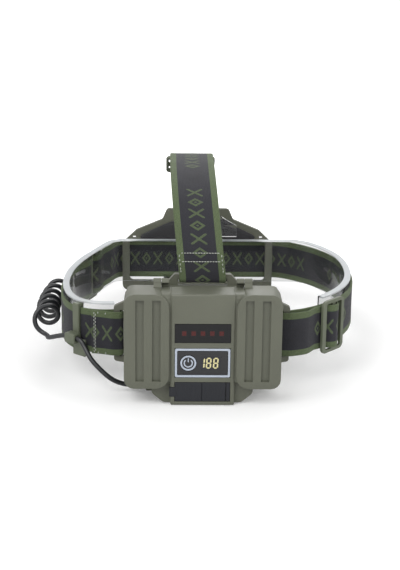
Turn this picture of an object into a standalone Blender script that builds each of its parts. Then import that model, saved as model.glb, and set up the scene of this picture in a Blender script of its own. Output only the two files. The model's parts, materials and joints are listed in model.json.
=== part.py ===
"""Miner's cap lamp: battery case at the back of the head, lamp at the front.

Metres, +Z up.  The origin is the centre of the head ring.  The wearer faces +Y,
so the battery case lies at -Y, the lamp at +Y and the wearer's right is +X.
"""
import math

import bmesh
import bpy
import numpy as np
from mathutils import Matrix, Vector

# ---------------------------------------------------------------- driving sizes
GAP = 0.0003                 # running gap between neighbours

# straps and the ring they form
STRAP_WIDTH = 0.0300
STRAP_THICK = 0.0016
RING_LEFT = 0.0955           # reach of the ring on the wearer's left
RING_RIGHT = 0.1075          # reach on the right, where the spare strap lies
RING_BACK = 0.0950           # half depth of the left half
RING_BACK_RIGHT = 0.0983     # half depth of the right half, behind
RING_FRONT_RIGHT = 0.1020    # and in front
RING_SQUARE_RIGHT = 2.3      # superellipse exponent: 2 is round, more is squarer
LEFT_SHAPE = ((0.69, -0.914), (0.81, -0.879), (0.90, -0.795), (0.958, -0.658), (0.99, -0.474), (0.995, -0.263),
              (0.966, 0.0), (0.897, 0.263), (0.806, 0.505), (0.726, 0.716), (0.676, 0.842), (0.636, 0.960))
FRONT_STRAP_Y = 0.0893       # straight run of the strap across the bracket

# battery case
CASE_HALF_WIDTH = 0.0500
CASE_TOP = 0.0370
LOBE_BOTTOM = -0.0260
LOBE_FRONT = -0.1240
LOBE_INNER = 0.0213
PANEL_FRONT = -0.1220
PANEL_HALF_WIDTH = 0.0205
PANEL_INNER = -0.1190
SHOULDER_DROP = 0.0006       # the land beside the panel lies this much behind it
SKIRT_BOTTOM = -0.0378
SKIRT_HALF_WIDTH = 0.0325
SKIRT_FRONT = -0.1180
COVER_RIM = -0.1047
GASKET_THICK = 0.0008
BASE_BACK = -0.0860
BASE_HALF_WIDTH = 0.0490
BASE_TOP = 0.0346
BASE_BOTTOM = -0.0330
SLOPE_LENGTH = 0.0096        # the top falls away towards the head over this length
SLOPE_DROP = 0.0061
WALL = 0.0025
BASE_WALL = 0.0020
GROOVE_WIDTH = 0.0053
GROOVE_DEPTH = 0.0018
GROOVE_XS = (0.0294, 0.0400)
GROOVE_TOP = 0.0330
GROOVE_BOTTOM = -0.0210

# rear window, display and port cover, all on the centre panel
FIELD_WIDTH = 0.0352
WINDOW_HEIGHT = 0.0123
WINDOW_Z = 0.01085
LENS_THICK = 0.0009
LED_COUNT = 5
LED_PITCH = 0.0059
LED_SIZE = (0.0032, 0.0038)
DISPLAY_HEIGHT = 0.0193
DISPLAY_Z = -0.0090
FRAME_BAR = 0.0014
BUTTON_X = -0.0091
BUTTON_RADIUS = 0.0052
BUTTON_TRAVEL = 0.0006
DIGITS_X = 0.0052
DIGITS_SIZE = (0.0140, 0.0090)
FLAP_HEIGHT = 0.0128
FLAP_Z = -0.0286
FLAP_THICK = 0.0016
FLAP_ANCHOR = 0.0024
TAB_SIZE = (0.0038, 0.0062)
BOARD_BACK = -0.1095
BOARD_THICK = 0.0016
USB_C = (-0.0090, 0.0090, 0.0033)
USB_A = (0.0050, 0.0132, 0.0058)

# case hinge
HINGE_Y = -0.1040
HINGE_Z = 0.0394
PIN_RADIUS = 0.0010
KNUCKLE_RADIUS = 0.0024
KNUCKLE_MID = 0.0265
KNUCKLE_LENGTH = 0.0048

# cells
CELL_RADIUS = 0.0093
CELL_LENGTH = 0.0650
CELL_PITCH = 0.0192
CELL_Z = 0.0030
SPRING_LENGTH = 0.0060

# where the straps are held
EAR_REACH = 0.0066
EAR_BAR_X = BASE_HALF_WIDTH + EAR_REACH      # centre of the side bar of each ear
EAR_BAR_WIDTH = 0.0038
EAR_THICK = 0.0034
EAR_Y = -0.0890
FRAME_Y = -0.0920
FRAME_THICK = 0.0040
FRAME_BAR_Z = 0.0399
FRAME_BAR_HEIGHT = 0.0032
SLOT_CLEAR = 0.0010          # strap slots are this much longer than the strap, each end

# front bracket
BRACKET_Y = 0.0843
BRACKET_THICK = 0.0034
BRACKET_HALF_WIDTH = 0.0578
BRACKET_BOTTOM = -0.0245
SIDE_BAR = 0.0056
WINDOW_HALF_HEIGHT = 0.0165
TOP_BAR_Z = 0.0391
TOP_BAR_HEIGHT = 0.0036
NOTCH_X = 0.0485              # small notch beside each end of the pad
BRIDGE_BACK = 0.0908
BRIDGE_THICK = 0.0034
BRIDGE_HALF = 0.0260
PAD_THICK = 0.0026

# lamp
MOUNT_THICK = 0.0022
MOUNT_BACK = BRIDGE_BACK + BRIDGE_THICK + GAP
MOUNT_FRONT = MOUNT_BACK + MOUNT_THICK
PIVOT_REACH = 0.0153
PIVOT_Y = MOUNT_FRONT + PIVOT_REACH
EAR_GAP_HALF = 0.0096
EAR_PLATE = 0.0032
EAR_RADIUS = 0.0075
LAMP_BEHIND = 0.0090
LAMP_START = PIVOT_Y + LAMP_BEHIND
LAMP_LENGTH = 0.0260
LAMP_END = LAMP_START + LAMP_LENGTH
LAMP_RADIUS = 0.0185
BEZEL_RADIUS = 0.0220
BEZEL_LENGTH = 0.0240
BEZEL_OVERLAP = 0.0130
BEZEL_START = LAMP_END - BEZEL_OVERLAP
LENS_RADIUS = 0.0178
FOCUS_TRAVEL = 0.0080
FIN_COUNT = 4
FIN_SLOT = 0.0013
SCREW_RADIUS = 0.0012
SCREW_HEAD = 0.0023
SCREW_X, SCREW_Z = 0.0190, 0.0150
SCREWS = [(sx * SCREW_X, sz * SCREW_Z) for sx in (-1, 1) for sz in (-1, 1)]

# cable
CABLE_DIAMETER = 0.0032
COIL_DIAMETER = 0.0165
COIL_START_Y = -0.0550
COIL_END_Y = 0.0120
CLIP_OUT = 0.0064            # the cable passes this far outside the strap's centre
CLIP_Z = -0.0050
GLAND_TIP = 0.0270

# fittings on the straps
SLIDER_LEFT_Y = 0.0400
SLIDER_RIGHT_BACK = 0.0345   # from the end of the ring's strap
SLIDER_TOP_Y = 0.0620
BUCKLE_X = -0.0815
SLIDER_LIFT = 0.0036         # underside of a slider over the lower layer of strap

# clear formers
FORMER_INSET = 0.0046
FORMER_THICK = 0.0010
FORMER_LOW, FORMER_HIGH = -0.0130, 0.0190
FORMER_FLANGE = 0.0039       # how far the top edge is turned outwards
FORMER_FRONT_Y = 0.0720
TOP_FORMER_BACK_Z = 0.0660
TOP_FORMER_FRONT_Z = 0.0560

PARTS = None
CUTTERS = None


# ---------------------------------------------------------------- scene helpers
def start_scene():
    """Empty the scene and make one collection for parts and one for cutters."""
    global PARTS, CUTTERS
    for obj in list(bpy.data.objects):
        bpy.data.objects.remove(obj, do_unlink=True)
    PARTS = bpy.data.collections.new("cap_lamp")
    CUTTERS = bpy.data.collections.new("cutters")
    bpy.context.scene.collection.children.link(PARTS)
    bpy.context.scene.collection.children.link(CUTTERS)


def material(name, colour, roughness=0.6, metallic=0.0):
    """Return a Principled material with one plain colour."""
    mat = bpy.data.materials.new(name)
    mat.use_nodes = True
    shader = mat.node_tree.nodes["Principled BSDF"]
    shader.inputs["Base Color"].default_value = (*colour, 1.0)
    shader.inputs["Roughness"].default_value = roughness
    shader.inputs["Metallic"].default_value = metallic
    mat.diffuse_color = (*colour, 1.0)
    return mat


def olive(name):
    return material(name, (0.105, 0.125, 0.085), 0.55)


def black_plastic(name):
    return material(name, (0.012, 0.012, 0.014), 0.35)


def rubber(name):
    return material(name, (0.020, 0.020, 0.024), 0.75)


def steel(name):
    return material(name, (0.55, 0.55, 0.56), 0.3, 1.0)


def aluminium(name):
    return material(name, (0.06, 0.062, 0.066), 0.38, 0.9)


def webbing(name):
    return material(name, (0.035, 0.034, 0.045), 0.9)


def clear_sheet(name):
    return material(name, (0.80, 0.82, 0.84), 0.12)


def add_object(name, mesh, mat, cutter=False):
    """Link a mesh as a part, or as a hidden cutter or joined solid."""
    obj = bpy.data.objects.new(name, mesh)
    if cutter:
        CUTTERS.objects.link(obj)
        obj.hide_render = True
        obj.display_type = "WIRE"
    else:
        PARTS.objects.link(obj)
        mesh.materials.append(mat)
        mesh.shade_smooth()
        mesh.set_sharp_from_angle(angle=math.radians(35))
    return obj


def finish_bmesh(bm, name, mat, cutter, place=None):
    """Turn a bmesh into an object; place moves it before it is stored."""
    if place is not None:
        bm.transform(place)
    bmesh.ops.recalc_face_normals(bm, faces=bm.faces)
    if bm.calc_volume(signed=True) < 0:
        bmesh.ops.reverse_faces(bm, faces=bm.faces)
    mesh = bpy.data.meshes.new(name)
    bm.to_mesh(mesh)
    bm.free()
    return add_object(name, mesh, mat, cutter)


def box(name, low, high, mat=None, cutter=False, bevel=0.0, segments=2):
    """A box between two corners, with its edges rounded if asked."""
    low, high = Vector(low), Vector(high)
    bm = bmesh.new()
    bmesh.ops.create_cube(bm, size=1.0)
    size = high - low
    bmesh.ops.scale(bm, vec=size, verts=bm.verts)
    bmesh.ops.translate(bm, vec=(low + high) / 2, verts=bm.verts)
    obj = finish_bmesh(bm, name, mat, cutter)
    if bevel:
        round_edges(obj, bevel, segments)
    return obj


def turn_to(axis):
    """Rotation that carries +Z onto the named axis."""
    turns = {"X": Matrix.Rotation(math.radians(90), 4, "Y"),
             "Y": Matrix.Rotation(math.radians(-90), 4, "X"),
             "Z": Matrix.Identity(4)}
    return turns[axis]


def rod(name, start, length, radius, axis="X", mat=None, cutter=False, sides=24, radius_end=None):
    """A cylinder or cone from start along an axis."""
    end = radius if radius_end is None else radius_end
    bm = bmesh.new()
    bmesh.ops.create_cone(bm, cap_ends=True, segments=sides, radius1=radius, radius2=end, depth=length)
    bmesh.ops.translate(bm, vec=(0, 0, length / 2), verts=bm.verts)
    return finish_bmesh(bm, name, mat, cutter, Matrix.Translation(start) @ turn_to(axis))


def turned(name, profile, centre, axis="Y", mat=None, cutter=False, sides=48):
    """Turn a profile of (along, radius) points about an axis through centre.

    A profile that starts and ends on the axis is left open there; any other is closed.
    """
    bm = bmesh.new()
    loop = [bm.verts.new((radius, 0.0, along)) for along, radius in profile]
    pairs = list(zip(loop, loop[1:]))
    if profile[0][1] > 0.0 or profile[-1][1] > 0.0:
        pairs.append((loop[-1], loop[0]))
    edges = [bm.edges.new(pair) for pair in pairs]
    bmesh.ops.spin(bm, geom=loop + edges, cent=(0, 0, 0), axis=(0, 0, 1), angle=math.tau, steps=sides,
                   use_merge=True, use_duplicate=False)
    bmesh.ops.remove_doubles(bm, verts=bm.verts, dist=1e-6)
    return finish_bmesh(bm, name, mat, cutter, Matrix.Translation(centre) @ turn_to(axis))


def plate(name, loops, low, high, plane, mat=None, cutter=False):
    """Extrude flat outlines between two levels.

    plane "XZ" extrudes along Y, "YZ" along X and "XY" along Z.
    """
    curve = bpy.data.curves.new(name, "CURVE")
    curve.dimensions = "2D"
    curve.fill_mode = "BOTH"
    curve.extrude = (high - low) / 2
    curve.render_resolution_u = 0
    for loop in loops:
        spline = curve.splines.new("POLY")
        spline.points.add(len(loop) - 1)
        flat = [value for u, v in loop for value in (u, v, 0.0, 1.0)]
        spline.points.foreach_set("co", flat)
        spline.use_cyclic_u = True
    obj = bpy.data.objects.new(name + "_curve", curve)
    CUTTERS.objects.link(obj)
    bpy.context.view_layer.update()
    mesh = bpy.data.meshes.new_from_object(obj.evaluated_get(bpy.context.evaluated_depsgraph_get()))
    bpy.data.objects.remove(obj, do_unlink=True)
    bm = bmesh.new()
    bm.from_mesh(mesh)
    bpy.data.meshes.remove(mesh)
    bmesh.ops.remove_doubles(bm, verts=bm.verts, dist=1e-6)
    middle = (low + high) / 2
    maps = {"XZ": Matrix(((1, 0, 0, 0), (0, 0, 1, middle), (0, 1, 0, 0), (0, 0, 0, 1))),
            "YZ": Matrix(((0, 0, 1, middle), (1, 0, 0, 0), (0, 1, 0, 0), (0, 0, 0, 1))),
            "XY": Matrix(((1, 0, 0, 0), (0, 1, 0, 0), (0, 0, 1, middle), (0, 0, 0, 1)))}
    return finish_bmesh(bm, name, mat, cutter, maps[plane])


def tube(name, points, diameter, mat, resolution=2):
    """A round tube along a smooth curve through the points, closed at both ends."""
    curve = bpy.data.curves.new(name, "CURVE")
    curve.dimensions = "3D"
    curve.bevel_depth = diameter / 2
    curve.bevel_resolution = resolution
    curve.use_fill_caps = True
    curve.render_resolution_u = 0
    spline = curve.splines.new("POLY")
    spline.points.add(len(points) - 1)
    for point, place in zip(spline.points, points):
        point.co = (*place, 1.0)
    curve.materials.append(mat)
    obj = bpy.data.objects.new(name, curve)
    PARTS.objects.link(obj)
    return obj


def round_edges(obj, width, segments=2, angle=40):
    """Round the sharp edges with a Bevel modifier."""
    mod = obj.modifiers.new("round", "BEVEL")
    mod.width = width
    mod.segments = segments
    mod.limit_method = "ANGLE"
    mod.angle_limit = math.radians(angle)
    return obj


def boolean(obj, others, operation):
    for other in others:
        mod = obj.modifiers.new(operation.lower() + "_" + other.name, "BOOLEAN")
        mod.operation = operation
        mod.object = other
        mod.solver = "EXACT"
    return obj


def cut(obj, *cutters):
    return boolean(obj, cutters, "DIFFERENCE")


def join(obj, *solids):
    return boolean(obj, solids, "UNION")


def pivot(name, place, pieces):
    """Put an empty on a joint axis and hang the moving pieces on it."""
    empty = bpy.data.objects.new(name, None)
    empty.location = place
    PARTS.objects.link(empty)
    for piece in pieces:
        piece.parent = empty
        piece.matrix_parent_inverse = Matrix.Translation(place).inverted()
    return empty


# ---------------------------------------------------------------- outline helpers
def rounded(corners, radii, steps=4):
    """Replace each corner of a closed outline by an arc of its own radius."""
    count = len(corners)
    if not hasattr(radii, "__len__"):
        radii = [radii] * count
    points = []
    for i in range(count):
        here = np.array(corners[i], float)
        before = np.array(corners[i - 1], float) - here
        after = np.array(corners[(i + 1) % count], float) - here
        if radii[i] <= 0:
            points.append(tuple(here))
            continue
        before, after = before / np.linalg.norm(before), after / np.linalg.norm(after)
        half = math.acos(max(-1.0, min(1.0, float(before @ after)))) / 2
        reach = radii[i] / math.tan(half)
        bisector = (before + after) / np.linalg.norm(before + after)
        centre = here + bisector * radii[i] / math.sin(half)
        first, last = here + before * reach - centre, here + after * reach - centre
        turn = math.atan2(first[0] * last[1] - first[1] * last[0], float(first @ last))
        for k in range(steps + 1):
            a = turn * k / steps
            c, s = math.cos(a), math.sin(a)
            points.append((centre[0] + first[0] * c - first[1] * s, centre[1] + first[0] * s + first[1] * c))
    return points


def rectangle(u0, v0, u1, v1, radius=0.0, steps=3):
    corners = [(u0, v0), (u1, v0), (u1, v1), (u0, v1)]
    return rounded(corners, radius, steps) if radius else corners


def circle(u, v, radius, sides=24):
    return [(u + radius * math.cos(math.tau * k / sides), v + radius * math.sin(math.tau * k / sides))
            for k in range(sides)]


def smooth(points, step):
    """Even points, about one step apart, on a Catmull-Rom curve through the given ones."""
    pts = np.array(points, float)
    ends = np.vstack([2 * pts[0] - pts[1], pts, 2 * pts[-1] - pts[-2]])
    dense = []
    for i in range(len(pts) - 1):
        p0, p1, p2, p3 = ends[i:i + 4]
        for t in np.linspace(0, 1, 24, endpoint=False):
            dense.append(0.5 * (2 * p1 + (p2 - p0) * t + (2 * p0 - 5 * p1 + 4 * p2 - p3) * t ** 2
                                + (3 * p1 - p0 - 3 * p2 + p3) * t ** 3))
    dense.append(pts[-1])
    return spread(np.array(dense), step)


def spread(dense, step):
    """Resample a polyline at even spacing."""
    lengths = np.r_[0, np.cumsum(np.linalg.norm(np.diff(dense, axis=0), axis=1))]
    count = max(2, int(round(lengths[-1] / step)) + 1)
    where = np.linspace(0, lengths[-1], count)
    return np.stack([np.interp(where, lengths, dense[:, k]) for k in range(dense.shape[1])], axis=1)


def thicken(path, thickness):
    """Closed outline of a strip of even thickness about an open path.

    Points of the outline that would fold over in a tight bend are left out.
    """
    path = np.array(path, float)
    along = np.gradient(path, axis=0)
    along /= np.linalg.norm(along, axis=1)[:, None]
    side = np.stack([-along[:, 1], along[:, 0]], axis=1) * thickness / 2
    starts, ends = path[:-1], path[1:]
    run = ends - starts
    outline = []
    for edge in (path + side, (path - side)[::-1]):
        for i, point in enumerate(edge):
            t = np.clip(np.sum((point - starts) * run, axis=1) / np.sum(run * run, axis=1), 0, 1)
            nearest = np.min(np.linalg.norm(starts + run * t[:, None] - point, axis=1))
            if i in (0, len(edge) - 1) or nearest > thickness * 0.47:
                outline.append(tuple(point))
    return outline


# ---------------------------------------------------------------- battery case
BASE_RIM = COVER_RIM + 2 * GAP + GASKET_THICK
SLOT_HALF = STRAP_WIDTH / 2 + SLOT_CLEAR
BAY_HALF = CELL_LENGTH / 2
BAY_RIGHT = BAY_HALF + SPRING_LENGTH
STRIP_THICK = 0.0005
CELL_Y = BASE_BACK - BASE_WALL - 0.0004 - CELL_RADIUS
GLAND = (-0.0368, BASE_RIM + 0.0050, BASE_BOTTOM + 0.0002)


def knuckle(name, start, foot_z, y0, y1):
    """Hinge knuckle with its foot: one outline extruded along X."""
    barrel = [p for p in circle(HINGE_Y, HINGE_Z, KNUCKLE_RADIUS, 20) if p[1] >= HINGE_Z - 1e-6]
    barrel.sort(key=lambda p: -p[0])
    low = HINGE_Z - KNUCKLE_RADIUS * 0.8
    outline = barrel + [(y0, low), (y0, foot_z), (y1, foot_z), (y1, low)]
    return plate(name, [outline], start, start + KNUCKLE_LENGTH, "YZ", cutter=True)


def hinge_bore(name, side):
    middle = side * KNUCKLE_MID
    start = (middle - KNUCKLE_LENGTH - 0.001, HINGE_Y, HINGE_Z)
    return rod(name, start, 2 * KNUCKLE_LENGTH + 0.002, PIN_RADIUS + GAP, "X", cutter=True, sides=16)


def build_base():
    """Base housing: a tray with two hinge knuckles, the strap frame and two ears."""
    outer = rounded([(-BASE_HALF_WIDTH, BASE_BOTTOM), (BASE_HALF_WIDTH, BASE_BOTTOM),
                     (BASE_HALF_WIDTH, BASE_TOP), (-BASE_HALF_WIDTH, BASE_TOP)], (0.006, 0.006, 0.005, 0.005))
    base = plate("base_housing", [outer], BASE_RIM - 0.006, BASE_BACK, "XZ", olive("base_abs"))
    round_edges(base, 0.002, 2)
    past = BASE_HALF_WIDTH + 0.02
    cut(base, box("base_trim", (-past, BASE_RIM - 0.02, -past), (past, BASE_RIM, past), cutter=True))
    foot, frame_foot = BASE_TOP - 0.004, BASE_TOP - 0.0055
    slope = [(BASE_BACK - SLOPE_LENGTH, BASE_TOP), (BASE_BACK + 0.01, BASE_TOP - SLOPE_DROP * (1 + 0.01 / SLOPE_LENGTH)),
             (BASE_BACK + 0.01, BASE_TOP + 0.01), (BASE_BACK - SLOPE_LENGTH, BASE_TOP + 0.01)]
    cut(base, plate("top_slope", [slope], -past, past, "YZ", cutter=True))
    bar_top = FRAME_BAR_Z + FRAME_BAR_HEIGHT / 2
    bar_low = FRAME_BAR_Z - FRAME_BAR_HEIGHT / 2
    frame = [(-0.0240, frame_foot), (0.0240, frame_foot), (0.0240, BASE_TOP), (SLOT_HALF + 0.0022, bar_top),
             (-SLOT_HALF - 0.0022, bar_top), (-0.0240, BASE_TOP)]
    slot = rectangle(-SLOT_HALF, BASE_TOP - 0.0008, SLOT_HALF, bar_low, 0.0006, 2)
    joined = [plate("strap_frame", [rounded(frame, (0, 0, 0.001, 0.0015, 0.0015, 0.001), 2), slot],
                    FRAME_Y - FRAME_THICK / 2, FRAME_Y + FRAME_THICK / 2, "XZ", cutter=True)]
    for side in (-1, 1):
        tag = "right" if side > 0 else "left"
        ear_in, ear_end = side * (BASE_HALF_WIDTH - 0.003), side * (EAR_BAR_X + EAR_BAR_WIDTH / 2)
        ear = [(ear_in, -0.0210), (ear_end, -0.0190), (ear_end, 0.0185), (ear_in, 0.0240)]
        slot_xs = sorted((side * (BASE_HALF_WIDTH + 0.0020), side * (EAR_BAR_X - EAR_BAR_WIDTH / 2)))
        ear_slot = rectangle(slot_xs[0], -SLOT_HALF, slot_xs[1], SLOT_HALF, 0.0008, 2)
        joined.append(plate("ear_" + tag, [rounded(ear, (0, 0.002, 0.002, 0), 3), ear_slot],
                            EAR_Y - EAR_THICK / 2, EAR_Y + EAR_THICK / 2, "XZ", cutter=True))
        start = side * (KNUCKLE_MID - GAP / 2) - (KNUCKLE_LENGTH if side > 0 else 0)
        joined.append(knuckle("base_knuckle_" + tag, start, foot, BASE_RIM + 0.0003, BASE_RIM + 0.0040))
    joined.append(box("cable_boss", (-0.0365, BASE_RIM + 0.0005, BASE_BOTTOM - 0.0026),
                      (-0.0280, BASE_RIM + 0.0095, BASE_BOTTOM + 0.0030), cutter=True, bevel=0.0008))
    join(base, *joined)
    bays = [(-BAY_HALF - STRIP_THICK - 2 * GAP, BAY_RIGHT + STRIP_THICK + 2 * GAP),
            (-BASE_HALF_WIDTH + BASE_WALL, -BAY_HALF - 0.0034),
            (BAY_RIGHT + 0.0034, BASE_HALF_WIDTH - BASE_WALL)]
    low, high = CELL_Z - CELL_PITCH - CELL_RADIUS - 0.0006, CELL_Z + CELL_PITCH + CELL_RADIUS + 0.0006
    deep = BASE_BACK - BASE_WALL
    hollow = [(BASE_RIM - 0.01, low), (deep, low), (deep, high - 0.0048), (deep - 0.0068, high), (BASE_RIM - 0.01, high)]
    cutters = [plate("bay_" + str(i), [hollow], x0, x1, "YZ", cutter=True) for i, (x0, x1) in enumerate(bays)]
    cutters += [hinge_bore("base_bore_left", -1), hinge_bore("base_bore_right", 1)]
    cutters.append(rod("cable_bore", (-0.0530, GLAND[1], GLAND[2]), 0.0220, CABLE_DIAMETER / 2 + 0.0007,
                       "X", cutter=True, sides=16))
    return cut(base, *cutters)


def lobe_outline(side):
    """Front outline of one ribbed lobe, with large inner corners."""
    corners = [(LOBE_INNER, LOBE_BOTTOM), (CASE_HALF_WIDTH, LOBE_BOTTOM),
               (CASE_HALF_WIDTH, CASE_TOP), (LOBE_INNER, CASE_TOP)]
    outline = rounded(corners, (0.0085, 0.0062, 0.0070, 0.0090), 4)
    return [(side * x, z) for x, z in outline]


def build_cover():
    """Rear cover: two ribbed lobes, the centre panel and the skirt, hollow inside."""
    back = COVER_RIM + 0.010
    top = CASE_TOP - SHOULDER_DROP
    cover = box("rear_cover", (-PANEL_HALF_WIDTH, PANEL_FRONT, SKIRT_BOTTOM), (PANEL_HALF_WIDTH, back, top),
                olive("cover_abs"), bevel=0.0010)
    land = box("shoulder_land", (-0.0310, PANEL_FRONT + SHOULDER_DROP, LOBE_BOTTOM + 0.001),
               (0.0310, back + 0.001, top - 0.0003), cutter=True, bevel=0.0050, segments=3)
    skirt = [(-SKIRT_HALF_WIDTH, -0.0100), (SKIRT_HALF_WIDTH, -0.0100), (SKIRT_HALF_WIDTH, -0.0310),
             (0.0250, SKIRT_BOTTOM + 0.0005), (-0.0250, SKIRT_BOTTOM + 0.0005), (-SKIRT_HALF_WIDTH, -0.0310)]
    skirt = plate("skirt", [rounded(skirt, (0, 0, 0.004, 0.005, 0.005, 0.004), 3)], SKIRT_FRONT, back - 0.001,
                  "XZ", cutter=True)
    round_edges(skirt, 0.0030, 2)
    lobes = []
    for side, tag in ((-1, "left"), (1, "right")):
        lobe = plate("lobe_" + tag, [lobe_outline(side)], LOBE_FRONT, back + 0.002, "XZ", cutter=True)
        lobes.append(round_edges(lobe, 0.0058, 3))
    join(cover, land, skirt, *lobes)
    past = CASE_HALF_WIDTH + 0.02
    trim = box("cover_trim", (-past, COVER_RIM, -past), (past, COVER_RIM + 0.02, past), cutter=True)
    cut(cover, trim)
    knuckles = []
    for side, tag in ((-1, "left"), (1, "right")):
        start = side * (KNUCKLE_MID + GAP / 2) - (KNUCKLE_LENGTH if side < 0 else 0)
        knuckles.append(knuckle("cover_knuckle_" + tag, start, CASE_TOP - 0.003, COVER_RIM - 0.0045,
                                COVER_RIM - 0.0001))
    join(cover, *knuckles)
    cutters = [box("cover_bay", (-CASE_HALF_WIDTH + WALL, PANEL_INNER, LOBE_BOTTOM + WALL),
                   (CASE_HALF_WIDTH - WALL, COVER_RIM + 0.005, CASE_TOP - WALL - 0.0006), cutter=True, bevel=0.001),
               box("skirt_bay", (-0.0200, PANEL_INNER, SKIRT_BOTTOM + WALL), (0.0200, COVER_RIM + 0.004, 0.0),
                   cutter=True)]
    for side in (-1, 1):
        for k, x in enumerate(GROOVE_XS):
            cutters.append(box("groove_" + str(k) + ("r" if side > 0 else "l"),
                               (side * x - GROOVE_WIDTH / 2, LOBE_FRONT - 0.01, GROOVE_BOTTOM),
                               (side * x + GROOVE_WIDTH / 2, LOBE_FRONT + GROOVE_DEPTH, GROOVE_TOP), cutter=True))
    half = FIELD_WIDTH / 2 + GAP
    fields = [("window", WINDOW_Z, WINDOW_HEIGHT, LENS_THICK + GAP), ("display", DISPLAY_Z, DISPLAY_HEIGHT,
              LENS_THICK + GAP), ("flap", FLAP_Z, FLAP_HEIGHT, FLAP_THICK + GAP)]
    for tag, z, height, depth in fields:
        cutters.append(box(tag + "_recess", (-half, PANEL_FRONT - 0.005, z - height / 2 - GAP),
                           (half, PANEL_FRONT + depth, z + height / 2 + GAP), cutter=True))
    cutters.append(box("tab_recess", (-half - TAB_SIZE[0], PANEL_FRONT - 0.005, FLAP_Z - TAB_SIZE[1] / 2 - GAP),
                       (-half + 0.001, PANEL_FRONT + FLAP_THICK + GAP, FLAP_Z + TAB_SIZE[1] / 2 + GAP), cutter=True))
    through = [("led_opening", 0.0, WINDOW_Z, LED_PITCH * LED_COUNT + 0.001, LED_SIZE[1] + 0.0030),
               ("digit_opening", DIGITS_X, DISPLAY_Z, DIGITS_SIZE[0] + 2 * GAP, DIGITS_SIZE[1] + 2 * GAP),
               ("usb_c_opening", USB_C[0], FLAP_Z, USB_C[1] + 0.0010, USB_C[2] + 0.0010),
               ("usb_a_opening", USB_A[0], FLAP_Z, USB_A[1] + 0.0010, USB_A[2] + 0.0010)]
    for tag, x, z, width, height in through:
        cutters.append(box(tag, (x - width / 2, PANEL_FRONT - 0.002, z - height / 2),
                           (x + width / 2, PANEL_INNER + 0.001, z + height / 2), cutter=True))
    cutters.append(rod("button_hole", (BUTTON_X, PANEL_FRONT - 0.002, DISPLAY_Z), 0.0060, BUTTON_RADIUS + GAP, "Y",
                       cutter=True, sides=32))
    cutters += [hinge_bore("cover_bore_left", -1), hinge_bore("cover_bore_right", 1)]
    cut(cover, *cutters)
    posts = [rod("post_" + str(i), (x, PANEL_INNER - 0.0006, z), BOARD_BACK - BOARD_THICK - GAP - PANEL_INNER + 0.0006,
                 0.0016, "Y", cutter=True, sides=12)
             for i, (x, z) in enumerate(((-0.0172, 0.0035), (0.0172, 0.0035), (-0.0172, -0.0205),
                                         (0.0172, -0.0205)))]
    return join(cover, *posts)


def build_case_parts():
    """Everything inside the case that stays with the base."""
    high = (COVER_RIM + BASE_RIM) / 2
    outer = rectangle(-0.0482, LOBE_BOTTOM + 0.0006, 0.0482, CASE_TOP - 0.0024, 0.005)
    inner = rectangle(-0.0468, LOBE_BOTTOM + 0.0020, 0.0468, CASE_TOP - 0.0038, 0.0036)
    plate("case_gasket", [outer, inner], high - GASKET_THICK / 2, high + GASKET_THICK / 2, "XZ",
          rubber("gasket_silicone"))
    for k in range(3):
        z = CELL_Z + (k - 1) * CELL_PITCH
        cell = rod("cell_" + str(k + 1), (-BAY_HALF, CELL_Y, z), CELL_LENGTH, CELL_RADIUS, "X",
                   material("cell_wrap_" + str(k + 1), (0.02, 0.10, 0.30), 0.35), sides=28)
        round_edges(cell, 0.0006, 1)
        turns, points = 4, []
        for i in range(turns * 10 + 1):
            angle = math.tau * i / 10
            points.append((BAY_HALF + 0.0007 + (SPRING_LENGTH - 0.0014) * i / (turns * 10),
                           CELL_Y + 0.0042 * math.cos(angle), z + 0.0042 * math.sin(angle)))
        tube("cell_spring_" + str(k + 1), points, 0.0008, steel("spring_steel_" + str(k + 1)), 1)
    span = CELL_PITCH + CELL_RADIUS
    for tag, x in (("left", -BAY_HALF - GAP - STRIP_THICK), ("right", BAY_RIGHT + GAP)):
        box("contact_strip_" + tag, (x, CELL_Y - 0.0040, CELL_Z - span), (x + STRIP_THICK, CELL_Y + 0.0040,
            CELL_Z + span - 0.0024), steel("nickel_" + tag))
    for side, tag in ((-1, "left"), (1, "right")):
        start = side * KNUCKLE_MID - KNUCKLE_LENGTH
        rod("hinge_pin_" + tag, (start, HINGE_Y, HINGE_Z), 2 * KNUCKLE_LENGTH, PIN_RADIUS, "X",
            steel("pin_steel_" + tag), sides=16)


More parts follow.
